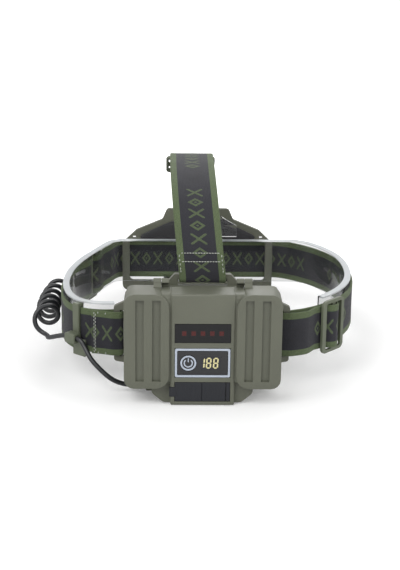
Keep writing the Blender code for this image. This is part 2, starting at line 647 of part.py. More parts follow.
def build_cover_parts():
    """Window, LEDs, display, button, board and sockets: all ride on the cover."""
    pieces = []
    half = FIELD_WIDTH / 2
    lens_back = PANEL_FRONT + LENS_THICK
    window = box("led_window", (-half, PANEL_FRONT, WINDOW_Z - WINDOW_HEIGHT / 2),
                 (half, lens_back, WINDOW_Z + WINDOW_HEIGHT / 2), black_plastic("smoked_window"))
    pieces.append(window)
    led_back = PANEL_INNER - GAP
    for k in range(LED_COUNT):
        x = (k - (LED_COUNT - 1) / 2) * LED_PITCH
        pieces.append(box("rear_led_" + str(k + 1), (x - LED_SIZE[0] / 2, lens_back + 0.0006, WINDOW_Z - LED_SIZE[1] / 2),
                          (x + LED_SIZE[0] / 2, led_back + GAP * 2, WINDOW_Z + LED_SIZE[1] / 2),
                          material("red_led_" + str(k + 1), (0.25, 0.01, 0.01), 0.3)))
    board_y = led_back + GAP * 3
    pieces.append(box("rear_led_board", (-0.0175, board_y, WINDOW_Z - 0.0050), (0.0175, board_y + 0.0012,
                      WINDOW_Z + 0.0050), material("led_board_laminate", (0.02, 0.12, 0.05), 0.5)))
    low, high = DISPLAY_Z - DISPLAY_HEIGHT / 2, DISPLAY_Z + DISPLAY_HEIGHT / 2
    inner = (half - FRAME_BAR, low + FRAME_BAR, high - FRAME_BAR)
    frame = plate("display_frame", [rectangle(-half, low, half, high, 0.0010, 2),
                                    rectangle(-inner[0], inner[1], inner[0], inner[2], 0.0006, 2)],
                  PANEL_FRONT - 0.0002, lens_back, "XZ", material("light_grey_abs", (0.55, 0.57, 0.60), 0.4))
    button_hole = circle(BUTTON_X, DISPLAY_Z, BUTTON_RADIUS + GAP, 32)
    lens = plate("display_lens", [rectangle(-inner[0] + GAP, inner[1] + GAP, inner[0] - GAP, inner[2] - GAP, 0.0004, 2),
                                  button_hole], PANEL_FRONT, lens_back, "XZ", black_plastic("display_glass"))
    pieces += [frame, lens]
    module_low = (DIGITS_X - DIGITS_SIZE[0] / 2, lens_back + GAP, DISPLAY_Z - DIGITS_SIZE[1] / 2)
    pieces.append(box("digit_module", module_low, (DIGITS_X + DIGITS_SIZE[0] / 2, PANEL_INNER + 0.0020,
                      DISPLAY_Z + DIGITS_SIZE[1] / 2), black_plastic("digit_module_case")))
    board_front = BOARD_BACK - BOARD_THICK
    board = box("control_board", (-0.0195, board_front, -0.0345), (0.0195, BOARD_BACK, 0.0120),
                material("control_board_laminate", (0.02, 0.12, 0.05), 0.5))
    pieces.append(board)
    switch_front = board_front - GAP - 0.0030
    pieces.append(box("button_switch", (BUTTON_X - 0.0030, switch_front, DISPLAY_Z - 0.0030),
                      (BUTTON_X + 0.0030, board_front - GAP, DISPLAY_Z + 0.0030), black_plastic("switch_case")))
    for tag, (x, width, height) in (("usb_c_socket", USB_C), ("usb_a_socket", USB_A)):
        socket = box(tag, (x - width / 2, PANEL_INNER + 0.0002, FLAP_Z - height / 2),
                     (x + width / 2, board_front - GAP, FLAP_Z + height / 2), steel(tag + "_shell"))
        mouth = box(tag + "_mouth", (x - width / 2 + 0.0006, PANEL_INNER - 0.01, FLAP_Z - height / 2 + 0.0006),
                    (x + width / 2 - 0.0006, PANEL_INNER + 0.0052, FLAP_Z + height / 2 - 0.0006), cutter=True)
        tongue = box(tag + "_tongue", (x - width / 2 + 0.0018, PANEL_INNER + 0.0010, FLAP_Z - height * 0.12),
                     (x + width / 2 - 0.0018, PANEL_INNER + 0.0060, FLAP_Z + height * 0.12), cutter=True)
        join(cut(socket, mouth), tongue)
        pieces.append(socket)
    cap = rod("power_button", (BUTTON_X, PANEL_FRONT - 0.0002, DISPLAY_Z), 0.0024, BUTTON_RADIUS, "Y",
              black_plastic("button_cap"), sides=32)
    stem_end = switch_front - GAP - BUTTON_TRAVEL
    stem = rod("button_stem", (BUTTON_X, PANEL_FRONT + 0.0010, DISPLAY_Z), stem_end - PANEL_FRONT - 0.0010, 0.0020, "Y",
               cutter=True, sides=16)
    join(cap, stem)
    flap_right = half - FLAP_ANCHOR
    flap = box("port_flap", (-half, PANEL_FRONT, FLAP_Z - FLAP_HEIGHT / 2),
               (flap_right - GAP, PANEL_FRONT + FLAP_THICK, FLAP_Z + FLAP_HEIGHT / 2), rubber("flap_rubber"))
    tab = box("flap_tab", (-half - TAB_SIZE[0] + GAP, PANEL_FRONT - 0.0004, FLAP_Z - TAB_SIZE[1] / 2),
              (-half + 0.0010, PANEL_FRONT + FLAP_THICK - 0.0002, FLAP_Z + TAB_SIZE[1] / 2), cutter=True)
    crease = box("flap_crease", (-0.0006, PANEL_FRONT - 0.001, FLAP_Z - 0.01), (-0.0001, PANEL_FRONT + 0.0004,
                 FLAP_Z + 0.01), cutter=True)
    cut(join(flap, tab), crease)
    pieces.append(box("flap_anchor", (flap_right, PANEL_FRONT, FLAP_Z - FLAP_HEIGHT / 2),
                      (half, PANEL_FRONT + FLAP_THICK, FLAP_Z + FLAP_HEIGHT / 2), rubber("flap_anchor_rubber")))
    pivot("button_axis", (BUTTON_X, PANEL_FRONT, DISPLAY_Z), [cap])
    pivot("flap_axis", (flap_right, PANEL_FRONT, FLAP_Z), [flap])
    return pieces


# ---------------------------------------------------------------- straps
class Track:
    """A smooth open path in a plane, with points given by distance along and beside it."""

    def __init__(self, dense):
        self.points = spread(np.array(dense, float), 0.001)
        steps = np.linalg.norm(np.diff(self.points, axis=0), axis=1)
        self.along = np.r_[0, np.cumsum(steps)]
        self.length = self.along[-1]
        tangent = np.gradient(self.points, axis=0)
        self.tangent = tangent / np.linalg.norm(tangent, axis=1)[:, None]

    def frame(self, s):
        """Point, tangent and left-hand normal at a distance along the path."""
        at = [np.interp(s, self.along, col) for col in (*self.points.T, *self.tangent.T)]
        tangent = np.array(at[2:]) / np.hypot(*at[2:])
        return np.array(at[:2]), tangent, np.array((-tangent[1], tangent[0]))

    def offset(self, pairs):
        """Points at (distance along, distance beside); beside is positive outwards."""
        out = []
        for s, d in pairs:
            place, _, normal = self.frame(s)
            out.append(place + normal * d)
        return out

    def nearest(self, axis, value, first=True):
        """Distance along at which one coordinate first (or last) crosses a value."""
        signs = np.nonzero(np.diff(np.sign(self.points[:, axis] - value)))[0]
        return float(self.along[signs[0 if first else -1]])


def half_ring(reach, back, front, square):
    """Half a superellipse from the back (-Y) to the front (+Y), on the +X side."""
    t = np.linspace(0.02, math.pi - 0.02, 240)
    x = reach * np.sin(t) ** (2 / square)
    depth = np.where(np.cos(t) > 0, back, front)
    y = -depth * np.sign(np.cos(t)) * np.abs(np.cos(t)) ** (2 / square)
    return np.stack([x, y], axis=1)


def left_side(inset, start):
    """Left side: out from the ear, round a close corner and on in a long slant to the bracket.

    LEFT_SHAPE gives its points as shares of RING_LEFT and RING_BACK.
    """
    shape = [(-RING_LEFT * a, RING_BACK * b) for a, b in LEFT_SHAPE]
    line = Track(smooth([start, *shape], 0.001))
    return np.array(line.offset([(s, -inset) for s in np.arange(0.006, line.length, 0.001)]))


def ring_track(inset, front_y, start_x, start_y):
    """The closed ring opened at the case: left side, straight front, right side."""
    left = left_side(inset, (-start_x, start_y - inset))
    right = half_ring(RING_RIGHT - inset, RING_BACK_RIGHT - inset, RING_FRONT_RIGHT - inset, RING_SQUARE_RIGHT)
    left = left[left[:, 1] < front_y - 0.0005]
    right = right[(right[:, 1] < front_y - 0.0005) & ((right[:, 0] > start_x + 0.006) | (right[:, 1] > 0))]
    start, end = [(-start_x, start_y)], [(start_x, start_y)]
    path = spread(np.vstack([start, left, right[::-1], end]), 0.001)
    kernel = np.ones(9) / 9
    for _ in range(3):
        padded = np.vstack([np.repeat(path[:1], 4, axis=0), path, np.repeat(path[-1:], 4, axis=0)])
        eased = np.stack([np.convolve(padded[:, k], kernel, "valid") for k in (0, 1)], axis=1)
        eased[0], eased[-1] = path[0], path[-1]
        path = eased
    return Track(path)


STRAP_WRAP = GAP + STRAP_THICK / 2 + 0.0001        # strap centre to the face of a bar
LAYER = STRAP_THICK + 0.0006                       # spacing of two layers
EAR_RUN = EAR_THICK / 2 + STRAP_WRAP
RING = ring_track(0.0, FRONT_STRAP_Y, EAR_BAR_X, EAR_Y + EAR_RUN)
SEWN_LENGTH = 0.0160
SLIDER_LEFT_AT = RING.nearest(1, SLIDER_LEFT_Y)
SLIDER_LEFT_SIZE = (0.0200, 0.0352, 0.0030)
SLIDER_LEFT_BAR = 0.0035
SLIDER_RIGHT_AT = RING.length - SLIDER_RIGHT_BACK
BUCKLE_AT = RING.nearest(0, BUCKLE_X)


def wrap(centre, half_u, half_v, begin, sweep):
    """Half turn round a bar, as half a superellipse a little outside its corners.

    begin is the direction in degrees of the side where the strap arrives; sweep
    is +180 or -180 degrees, and the bar's faces there are half_u or half_v away.
    """
    reach_u, reach_v = half_u + STRAP_WRAP, half_v + STRAP_WRAP
    across = begin % 180 == 0
    if across:
        reach_v += 0.0006
    else:
        reach_u += 0.0006
    points = []
    power = 2 / 3.2
    for a in np.radians(np.linspace(begin, begin + sweep, 13)):
        c, s = math.cos(a), math.sin(a)
        points.append((centre[0] + reach_u * math.copysign(abs(c) ** power, c) * (abs(c) > 1e-9),
                       centre[1] + reach_v * math.copysign(abs(s) ** power, s) * (abs(s) > 1e-9)))
    middle = points[6]
    if across:
        beyond = math.copysign(half_v + 0.0008, centre[1] - middle[1])
        ends = [(p[0], centre[1] + beyond) for p in (points[0], points[-1])]
    else:
        beyond = math.copysign(half_u + 0.0008, centre[0] - middle[0])
        ends = [(centre[0] + beyond, p[1]) for p in (points[0], points[-1])]
    return ends[:1] + points + ends[1:]


def strip_path(*runs):
    """Join runs of points into one smooth path, with close points only in the bends."""
    joined = [tuple(p) for run in runs for p in run]
    dense = smooth(joined, 0.0004)
    keep = [0]
    for i in range(1, len(dense) - 1):
        before = dense[i] - dense[keep[-1]]
        after = dense[i + 1] - dense[i]
        bend = abs(math.atan2(before[0] * after[1] - before[1] * after[0], float(before @ after)))
        if np.linalg.norm(before) > 0.0050 or bend > 0.20:
            keep.append(i)
    keep.append(len(dense) - 1)
    return dense[keep]


def along_track(track, s0, s1, beside=0.0, step=0.005):
    count = max(2, int(abs(s1 - s0) / step) + 1)
    return track.offset([(s, beside) for s in np.linspace(s0, s1, count)])


def beside(track, middle, pairs):
    """Points in the straight frame of a fitting: along the tangent and outwards."""
    place, tangent, normal = track.frame(middle)
    return [place + tangent * u + normal * v for u, v in pairs]


def slider_loop(side):
    """Sewn loop of strap round one outer bar of the in-line left slider.

    side is -1 where the strap comes from smaller distances along the ring.  The
    run starts on the ring's own line, goes under the bar and returns outside it.
    """
    half_bar, half_thick = SLIDER_LEFT_BAR / 2, SLIDER_LEFT_SIZE[2] / 2
    bar = side * (SLIDER_LEFT_SIZE[0] / 2 - half_bar)
    run = half_thick + STRAP_WRAP + 0.0002
    turn = [(bar - side * (half_bar + STRAP_WRAP + 0.0010) * math.sin(a) ** (2 / 3.2), -run * math.cos(a))
            for a in np.linspace(0.45, math.pi - 0.45, 7)]
    near = [(bar + side * 0.0030, -run + 0.0001), (bar, -run)] + turn
    near += [(bar, run), (bar + side * 0.0030, run - 0.0001)]
    away = SLIDER_LEFT_AT + bar
    start = RING.offset([(away + side * 0.0130, -0.0003)])
    tail = RING.offset([(away + side * 0.0090, LAYER + 0.0002), (away + side * 0.0140, LAYER)])
    return start + beside(RING, SLIDER_LEFT_AT, near) + tail


def ear_turn(side):
    """Half turn round the ear's bar, from the inner run to the outer run."""
    points = wrap((0.0, EAR_Y), EAR_BAR_WIDTH / 2, EAR_THICK / 2, 90, -180)
    return [(side * (EAR_BAR_X - p[0]), p[1]) for p in points]


WEAVE = [(0.0088, 0.0019), (0.0069, 0.0022), (0.0049, 0.0041), (0.0031, 0.0064), (0.0, 0.0075), (-0.0031, 0.0064),
         (-0.0049, 0.0041), (-0.0069, 0.0022), (-0.0088, 0.0019)]


def woven(track, middle):
    """Second layer of strap through a slider, from larger to smaller distances."""
    lead = track.offset([(middle + 0.0150, LAYER + 0.0002), (middle + 0.0115, LAYER + 0.0002)])
    return lead + beside(track, middle, WEAVE) + track.offset([(middle - 0.0115, LAYER), (middle - 0.0160, LAYER)])


def build_side_straps():
    """Left strap with its two sewn loops, and the right strap that crosses the bracket."""
    half = STRAP_WIDTH / 2
    lead = SLIDER_LEFT_SIZE[0] / 2 + 0.0160
    outer = RING.offset([(SEWN_LENGTH, LAYER), (0.0110, LAYER + 0.0002), (0.0060, 0.0042)])
    path = strip_path(outer, ear_turn(-1)[::-1], along_track(RING, 0.0060, SLIDER_LEFT_AT - lead), slider_loop(-1))
    plate("left_strap", [thicken(path, STRAP_THICK)], -half, half, "XY", webbing("left_webbing"))
    end = RING.length
    outer = RING.offset([(end - 0.0060, 0.0062), (end - 0.0120, 0.0056)])
    path = strip_path(slider_loop(1)[::-1], along_track(RING, SLIDER_LEFT_AT + lead, end - 0.0060), ear_turn(1),
                      outer, woven(RING, SLIDER_RIGHT_AT))
    plate("right_strap", [thicken(path, STRAP_THICK)], -half, half, "XY", webbing("right_webbing"))


def seat(obj, track, s, beside=0.0):
    """Place an object made flat (X along, Y outwards, Z up) at a point of the ring."""
    place, tangent, normal = track.frame(s)
    spot = place + normal * beside
    obj.location = (spot[0], spot[1], 0.0)
    obj.rotation_euler = (0.0, 0.0, math.atan2(tangent[1], tangent[0]))
    return obj


def build_ring_fittings():
    """Right slider, left slider and the buckle that guides the cable."""
    slot = STRAP_WIDTH / 2 + SLOT_CLEAR
    outline = rectangle(-0.0115, -0.0183, 0.0115, 0.0183, 0.0040, 4)
    slots = [rectangle(0.0015, -slot, 0.0075, slot, 0.0006, 1), rectangle(-0.0085, -slot, -0.0015, slot, 0.0006, 1)]
    slider = plate("slider_right", [outline] + slots, SLIDER_LIFT, SLIDER_LIFT + 0.0022, "XZ", olive("slider_right_nylon"))
    round_edges(seat(slider, RING, SLIDER_RIGHT_AT), 0.0004, 1)
    length, height, thick = SLIDER_LEFT_SIZE
    outline = rectangle(-length / 2, -height / 2, length / 2, height / 2, 0.0020, 3)
    inner = length / 2 - SLIDER_LEFT_BAR
    slots = [rectangle(0.0010, -slot, inner, slot, 0.0005, 1), rectangle(-inner, -slot, -0.0010, slot, 0.0005, 1)]
    slider = plate("slider_left", [outline] + slots, -thick / 2, thick / 2, "XZ", olive("slider_left_nylon"))
    seat(slider, RING, SLIDER_LEFT_AT)
    clear = STRAP_THICK / 2 + GAP
    buckle = box("cable_buckle", (-0.0027, -clear - 0.0016, -0.0178), (0.0027, clear + 0.0022, 0.0178),
                 olive("buckle_nylon"), bevel=0.0006, segments=1)
    strap_way = box("buckle_way", (-0.01, -clear, -STRAP_WIDTH / 2 - 0.0005), (0.01, clear, STRAP_WIDTH / 2 + 0.0005),
                    cutter=True)
    block = box("cable_clip", (-0.0045, clear + 0.0012, CLIP_Z - 0.0034), (0.0045, CLIP_OUT + 0.0030, CLIP_Z + 0.0034),
                cutter=True, bevel=0.0010)
    foot = box("buckle_foot", (-0.0085, clear + 0.0002, -0.0178), (-0.0015, clear + 0.0022, CLIP_Z - 0.0010), cutter=True,
               bevel=0.0006, segments=1)
    bore = rod("clip_bore", (-0.01, CLIP_OUT, CLIP_Z), 0.02, CABLE_DIAMETER / 2 + GAP, "X", cutter=True, sides=16)
    for piece in (buckle, strap_way, block, foot, bore):
        seat(piece, RING, BUCKLE_AT)
    cut(join(cut(buckle, strap_way), block, foot), bore)


# ---------------------------------------------------------------- clear formers


def build_headband_former():
    """Clear sheet bent round inside the ring, with a flange along its top edge."""
    track = ring_track(FORMER_INSET, FORMER_FRONT_Y, EAR_BAR_X + 0.001, EAR_Y + EAR_RUN + FORMER_INSET)
    s1 = track.length - 0.0260
    half = FORMER_THICK / 2
    section = [(-half, FORMER_LOW), (half, FORMER_LOW), (half, FORMER_HIGH - FORMER_THICK),
               (FORMER_FLANGE, FORMER_HIGH - FORMER_THICK), (FORMER_FLANGE, FORMER_HIGH), (-half, FORMER_HIGH)]
    bm = bmesh.new()
    rings = []
    for s in np.linspace(0.001, s1, int(s1 / 0.0065)):
        place, _, normal = track.frame(s)
        rings.append([bm.verts.new((*(place + normal * out), z)) for out, z in section])
    for here, there in zip(rings, rings[1:]):
        for k in range(len(section)):
            bm.faces.new((here[k - 1], here[k], there[k], there[k - 1]))
    bm.faces.new(rings[0][::-1])
    bm.faces.new(rings[-1])
    finish_bmesh(bm, "headband_former", clear_sheet("headband_former_pvc"), False)


# ---------------------------------------------------------------- top strap
ARCH_HEIGHT = 0.0603
ARCH_SQUARE_BACK = 2.3
ARCH_SQUARE_FRONT = 1.9
LEAN = -0.0065
LEAN_RISE = 0.65             # share of the height over which the front run leans
FRAME_RUN = FRAME_THICK / 2 + STRAP_WRAP
TOP_BAR_RUN = BRACKET_THICK / 2 + STRAP_WRAP


def arch_track():
    """Arch of the top strap in the YZ plane, from the case frame to the bracket's top bar."""
    y0, y1 = FRAME_Y - FRAME_RUN, BRACKET_Y - TOP_BAR_RUN
    middle, half = (y0 + y1) / 2, (y1 - y0) / 2
    t = np.linspace(0.0, math.pi, 400)
    power = np.where(t < math.pi / 2, 2 / ARCH_SQUARE_BACK, 2 / ARCH_SQUARE_FRONT)
    y = middle - half * np.sign(np.cos(t)) * np.abs(np.cos(t)) ** power
    base = FRAME_BAR_Z + (TOP_BAR_Z - FRAME_BAR_Z) * t / math.pi
    z = base + ARCH_HEIGHT * np.abs(np.sin(t)) ** power
    return Track(np.stack([y, z], axis=1))


ARCH = arch_track()
SLIDER_TOP_AT = ARCH.nearest(0, SLIDER_TOP_Y)


def sideways(y, z):
    """How far the top strap leans: in proportion to its height behind, as 3t^2 - 2t^3 in front."""
    t = min(1.0, max(0.0, (z - FRAME_BAR_Z) / ARCH_HEIGHT / (LEAN_RISE if y > 0 else 1.0)))
    return LEAN * (3 * t * t - 2 * t ** 3 if y > 0 else t)


def lean(obj):
    for vert in obj.data.vertices:
        vert.co.x += sideways(vert.co.y, vert.co.z)
    return obj


def build_top_strap():
    half = STRAP_WIDTH / 2
    tail = ARCH.offset([(0.0205, -LAYER), (0.0120, -LAYER - 0.0010), (0.0055, -0.0058)])
    turn = wrap((FRAME_Y, FRAME_BAR_Z), FRAME_THICK / 2, FRAME_BAR_HEIGHT / 2, 0, -180)
    end = ARCH.length
    main = along_track(ARCH, 0.0045, end - 0.0050)
    far = wrap((BRACKET_Y, TOP_BAR_Z), BRACKET_THICK / 2, TOP_BAR_HEIGHT / 2, 180, 180)
    mid = SLIDER_TOP_AT
    outer = ARCH.offset([(end - 0.0060, 0.0052), (end - 0.0120, 0.0032)])
    outer += along_track(ARCH, end - 0.0180, mid + 0.0200, LAYER + 0.0002) + woven(ARCH, mid)
    path = strip_path(tail, turn, main, far, outer)
    lean(plate("top_strap", [thicken(path, STRAP_THICK)], -half, half, "YZ", webbing("top_webbing")))
    slot = STRAP_WIDTH / 2 + SLOT_CLEAR
    outline = rectangle(-0.0180, -0.0115, 0.0180, 0.0115, 0.0035, 3)
    slots = [rectangle(-slot, 0.0015, slot, 0.0075, 0.0006, 1), rectangle(-slot, -0.0085, slot, -0.0015, 0.0006, 1)]
    slider = plate("slider_top", [outline] + slots, SLIDER_LIFT, SLIDER_LIFT + 0.0022, "XY", olive("slider_top_nylon"))
    place, tangent, _ = ARCH.frame(mid)
    slider.rotation_euler = (math.atan2(tangent[1], tangent[0]), 0.0, 0.0)
    slider.location = (sideways(*place), place[0], place[1])


def build_top_former():
    """Clear strip under the top strap, wider where it stands beside the case."""
    under = -(STRAP_THICK / 2 + FORMER_THICK / 2 + GAP * 1.5)
    s0, s1 = ARCH.nearest(1, TOP_FORMER_BACK_Z), ARCH.nearest(1, TOP_FORMER_FRONT_Z, first=False)
    spine = ARCH.offset([(s, under) for s in np.linspace(s0, s1, 26)])
    bm = bmesh.new()
    rows = []
    for y, z in spine:
        wide = z < 0.0740 and y < 0
        shift = sideways(y, z)
        left, right = (-0.0175, 0.0215) if wide else (shift - 0.0143, shift + 0.0143)
        rows.append((bm.verts.new((left, y, z)), bm.verts.new((right, y, z))))
    for (a, b), (c, d) in zip(rows, rows[1:]):
        bm.faces.new((a, b, d, c))
    former = finish_bmesh(bm, "top_former", clear_sheet("top_former_pvc"), False)
    wall = former.modifiers.new("wall", "SOLIDIFY")
    wall.thickness = FORMER_THICK
    wall.offset = 0.0


# ---------------------------------------------------------------- cable
COIL_BESIDE = STRAP_THICK / 2 + 0.0006 + COIL_DIAMETER / 2
COIL_FROM = RING.nearest(1, COIL_START_Y)
COIL_TO = RING.nearest(1, COIL_END_Y)


def build_cable():
    """Gland sleeve, the straight cable to the buckle, the curly run and the lamp cable."""
    rod("cable_gland", (GLAND[0] - 0.0045, GLAND[1], GLAND[2]), 0.0095, CABLE_DIAMETER / 2 + 0.0004, "X",
        rubber("gland_rubber"), sides=16)
    start = (GLAND[0] - 0.0045 - GAP, GLAND[1], GLAND[2])
    place, tangent, normal = RING.frame(BUCKLE_AT)
    clip = place + normal * CLIP_OUT
    before, after = clip - tangent * 0.0110, clip + tangent * 0.0100
    coil_axis = np.array(along_track(RING, COIL_FROM, COIL_TO, COIL_BESIDE, 0.008))
    face, heading = coil_axis[0], RING.frame(COIL_FROM)[1]
    meet = face - heading * 0.0006
    out = RING.frame(COIL_FROM)[2]
    radius = (COIL_DIAMETER - CABLE_DIAMETER) / 2
    route = [start, (start[0] - 0.0090, start[1] + 0.0003, start[2] + 0.0002), (-0.0600, -0.1018, -0.0280),
             (-0.0715, -0.0990, -0.0195), (*before, CLIP_Z - 0.0020),
             (*(clip - tangent * 0.0065), CLIP_Z), (*(clip + tangent * 0.0065), CLIP_Z),
             (*(after + normal * 0.0014), CLIP_Z - 0.0002),
             (*(meet - heading * 0.0060 + out * (radius - 0.0008)), -0.0020), (*(meet - heading * 0.0020 + out * radius),
                                                                               -0.0006), (*(meet + out * radius), -0.0005)]
    tube("case_cable", smooth(route, 0.0045), CABLE_DIAMETER, black_plastic("cable_jacket"))
    axis = np.column_stack([coil_axis, np.zeros(len(coil_axis))])
    tube("curly_cable", axis, COIL_DIAMETER, black_plastic("curly_jacket"), 4)
    end, heading = coil_axis[-1], RING.frame(COIL_TO)[1]
    leave = end + heading * 0.0006
    route = [(*leave, 0.0), (*(leave + heading * 0.0100), -0.0010), (-0.0945, 0.0450, -0.0050),
             (-0.0840, 0.0740, -0.0090), (-0.0690, 0.0970, -0.0100), (-0.0510, 0.1100, -0.0060),
             (-0.0370, PIVOT_Y, -0.0010), (-GLAND_TIP - GAP, PIVOT_Y, 0.0)]
    tube("lamp_cable", smooth(route, 0.0050), CABLE_DIAMETER, black_plastic("lamp_cable_jacket"))


# ---------------------------------------------------------------- front bracket
def mirrored(points):
    """Complete an outline given from the bottom middle up its +X side."""
    return points + [(-u, v) for u, v in reversed(points)]


def build_bracket():
    """Front plate with side bars, top bar and the bridge that carries the lamp mount."""
    back, front = BRACKET_Y - BRACKET_THICK / 2, BRACKET_Y + BRACKET_THICK / 2
    bar_top = TOP_BAR_Z + TOP_BAR_HEIGHT / 2
    side = [(BRACKET_HALF_WIDTH, BRACKET_BOTTOM), (BRACKET_HALF_WIDTH, 0.0135), (0.0470, 0.0240), (0.0270, 0.0325),
            (0.0235, bar_top)]
    radii = [0.0050, 0.0050, 0.0040, 0.0020, 0.0030]
    outline = rounded(mirrored(side), radii + radii[::-1], 4)
    inner = BRACKET_HALF_WIDTH - SIDE_BAR
    window = rectangle(-inner, -WINDOW_HALF_HEIGHT, inner, WINDOW_HALF_HEIGHT, 0.0030, 3)
    top_slot = rectangle(-SLOT_HALF, TOP_BAR_Z - TOP_BAR_HEIGHT / 2 - 0.0042, SLOT_HALF,
                         TOP_BAR_Z - TOP_BAR_HEIGHT / 2, 0.0008, 2)
    notches = [rectangle(sign * NOTCH_X - 0.0012, WINDOW_HALF_HEIGHT + 0.0012, sign * NOTCH_X + 0.0012,
                         WINDOW_HALF_HEIGHT + 0.0026) for sign in (-1, 1)]
    bracket = plate("front_bracket", [outline, window, top_slot] + notches, back, front, "XZ", olive("bracket_abs"))
    round_edges(bracket, 0.0006, 1)
    bridge_front = BRIDGE_BACK + BRIDGE_THICK
    bridge = box("bridge", (-BRIDGE_HALF, BRIDGE_BACK, -0.0240), (BRIDGE_HALF, bridge_front, 0.0240), cutter=True,
                 bevel=0.0010, segments=1)
    legs = [box("bridge_leg_" + tag, (-BRIDGE_HALF + 0.001, BRACKET_Y, low), (BRIDGE_HALF - 0.001, BRIDGE_BACK + 0.001,
                low + 0.0060), cutter=True)
            for tag, low in (("low", -0.0232), ("high", WINDOW_HALF_HEIGHT + 0.0004))]
    join(bracket, bridge, *legs)
    holes = [rod("screw_hole_" + str(i), (x, BRIDGE_BACK - 0.001, z), BRIDGE_THICK + 0.002, SCREW_RADIUS + GAP, "Y",
                 cutter=True, sides=12) for i, (x, z) in enumerate(SCREWS)]
    cut(bracket, *holes)
    low = WINDOW_HALF_HEIGHT + 0.0006
    pad = mirrored([(0.0440, low), (0.0440, 0.0200), (0.0262, 0.0285), (0.0190, 0.0315)])
    pad = plate("forehead_pad", [rounded(pad, [0.001, 0.002, 0.002, 0.001] * 2, 2)], back - GAP - PAD_THICK, back - GAP,
                "XZ", rubber("pad_foam"))
    round_edges(pad, 0.0006, 1)


def build_mount():
    """Lamp mount with its two ears, four screws and the tilt bolt."""
    mount = box("lamp_mount", (-0.0235, MOUNT_BACK, -0.0195), (0.0235, MOUNT_FRONT, 0.0195), black_plastic("mount_nylon"),
                bevel=0.0006, segments=1)
    ears = []
    for side, tag in ((-1, "left"), (1, "right")):
        inner = side * EAR_GAP_HALF
        x0, x1 = sorted((inner, inner + side * EAR_PLATE))
        arc = [(PIVOT_Y + EAR_RADIUS * math.sin(a), EAR_RADIUS * math.cos(a)) for a in np.linspace(0, math.pi, 13)]
        outline = arc + [(MOUNT_BACK + 0.001, -0.0120), (MOUNT_BACK + 0.001, 0.0120)]
        ears.append(plate("mount_ear_" + tag, [outline], x0, x1, "YZ", cutter=True))
    join(mount, *ears)
    bore_left = rod("gland_bore", (-EAR_GAP_HALF - EAR_PLATE - 0.001, PIVOT_Y, 0), EAR_PLATE + 0.002, 0.0030 + GAP, "X",
                    cutter=True)
    bore_right = rod("bolt_bore", (EAR_GAP_HALF - 0.001, PIVOT_Y, 0), EAR_PLATE + 0.002, 0.0020 + GAP, "X", cutter=True)
    holes = [rod("mount_hole_" + str(i), (x, MOUNT_BACK - 0.001, z), MOUNT_THICK + 0.002, SCREW_RADIUS + GAP, "Y",
                 cutter=True, sides=12) for i, (x, z) in enumerate(SCREWS)]
    cut(mount, bore_left, bore_right, *holes)
    for i, (x, z) in enumerate(SCREWS):
        head = MOUNT_FRONT + GAP
        profile = [(head + 0.0014, 0.0), (head + 0.0014, SCREW_HEAD * 0.8), (head + 0.0009, SCREW_HEAD),
                   (head, SCREW_HEAD), (head, SCREW_RADIUS), (BRIDGE_BACK + 0.0008, SCREW_RADIUS),
                   (BRIDGE_BACK + 0.0003, 0.0)]
        turned("mount_screw_" + str(i + 1), profile, (x, 0, z), "Y", steel("screw_steel_" + str(i + 1)), sides=16)
    head = EAR_GAP_HALF + EAR_PLATE + GAP
    profile = [(head + 0.0030, 0.0), (head + 0.0030, 0.0034), (head + 0.0024, 0.0040), (head, 0.0040), (head, 0.0020),
               (-0.0010, 0.0020), (-0.0010, 0.0)]
    turned("tilt_bolt", profile, (0, PIVOT_Y, 0), "X", steel("bolt_steel"), sides=20)


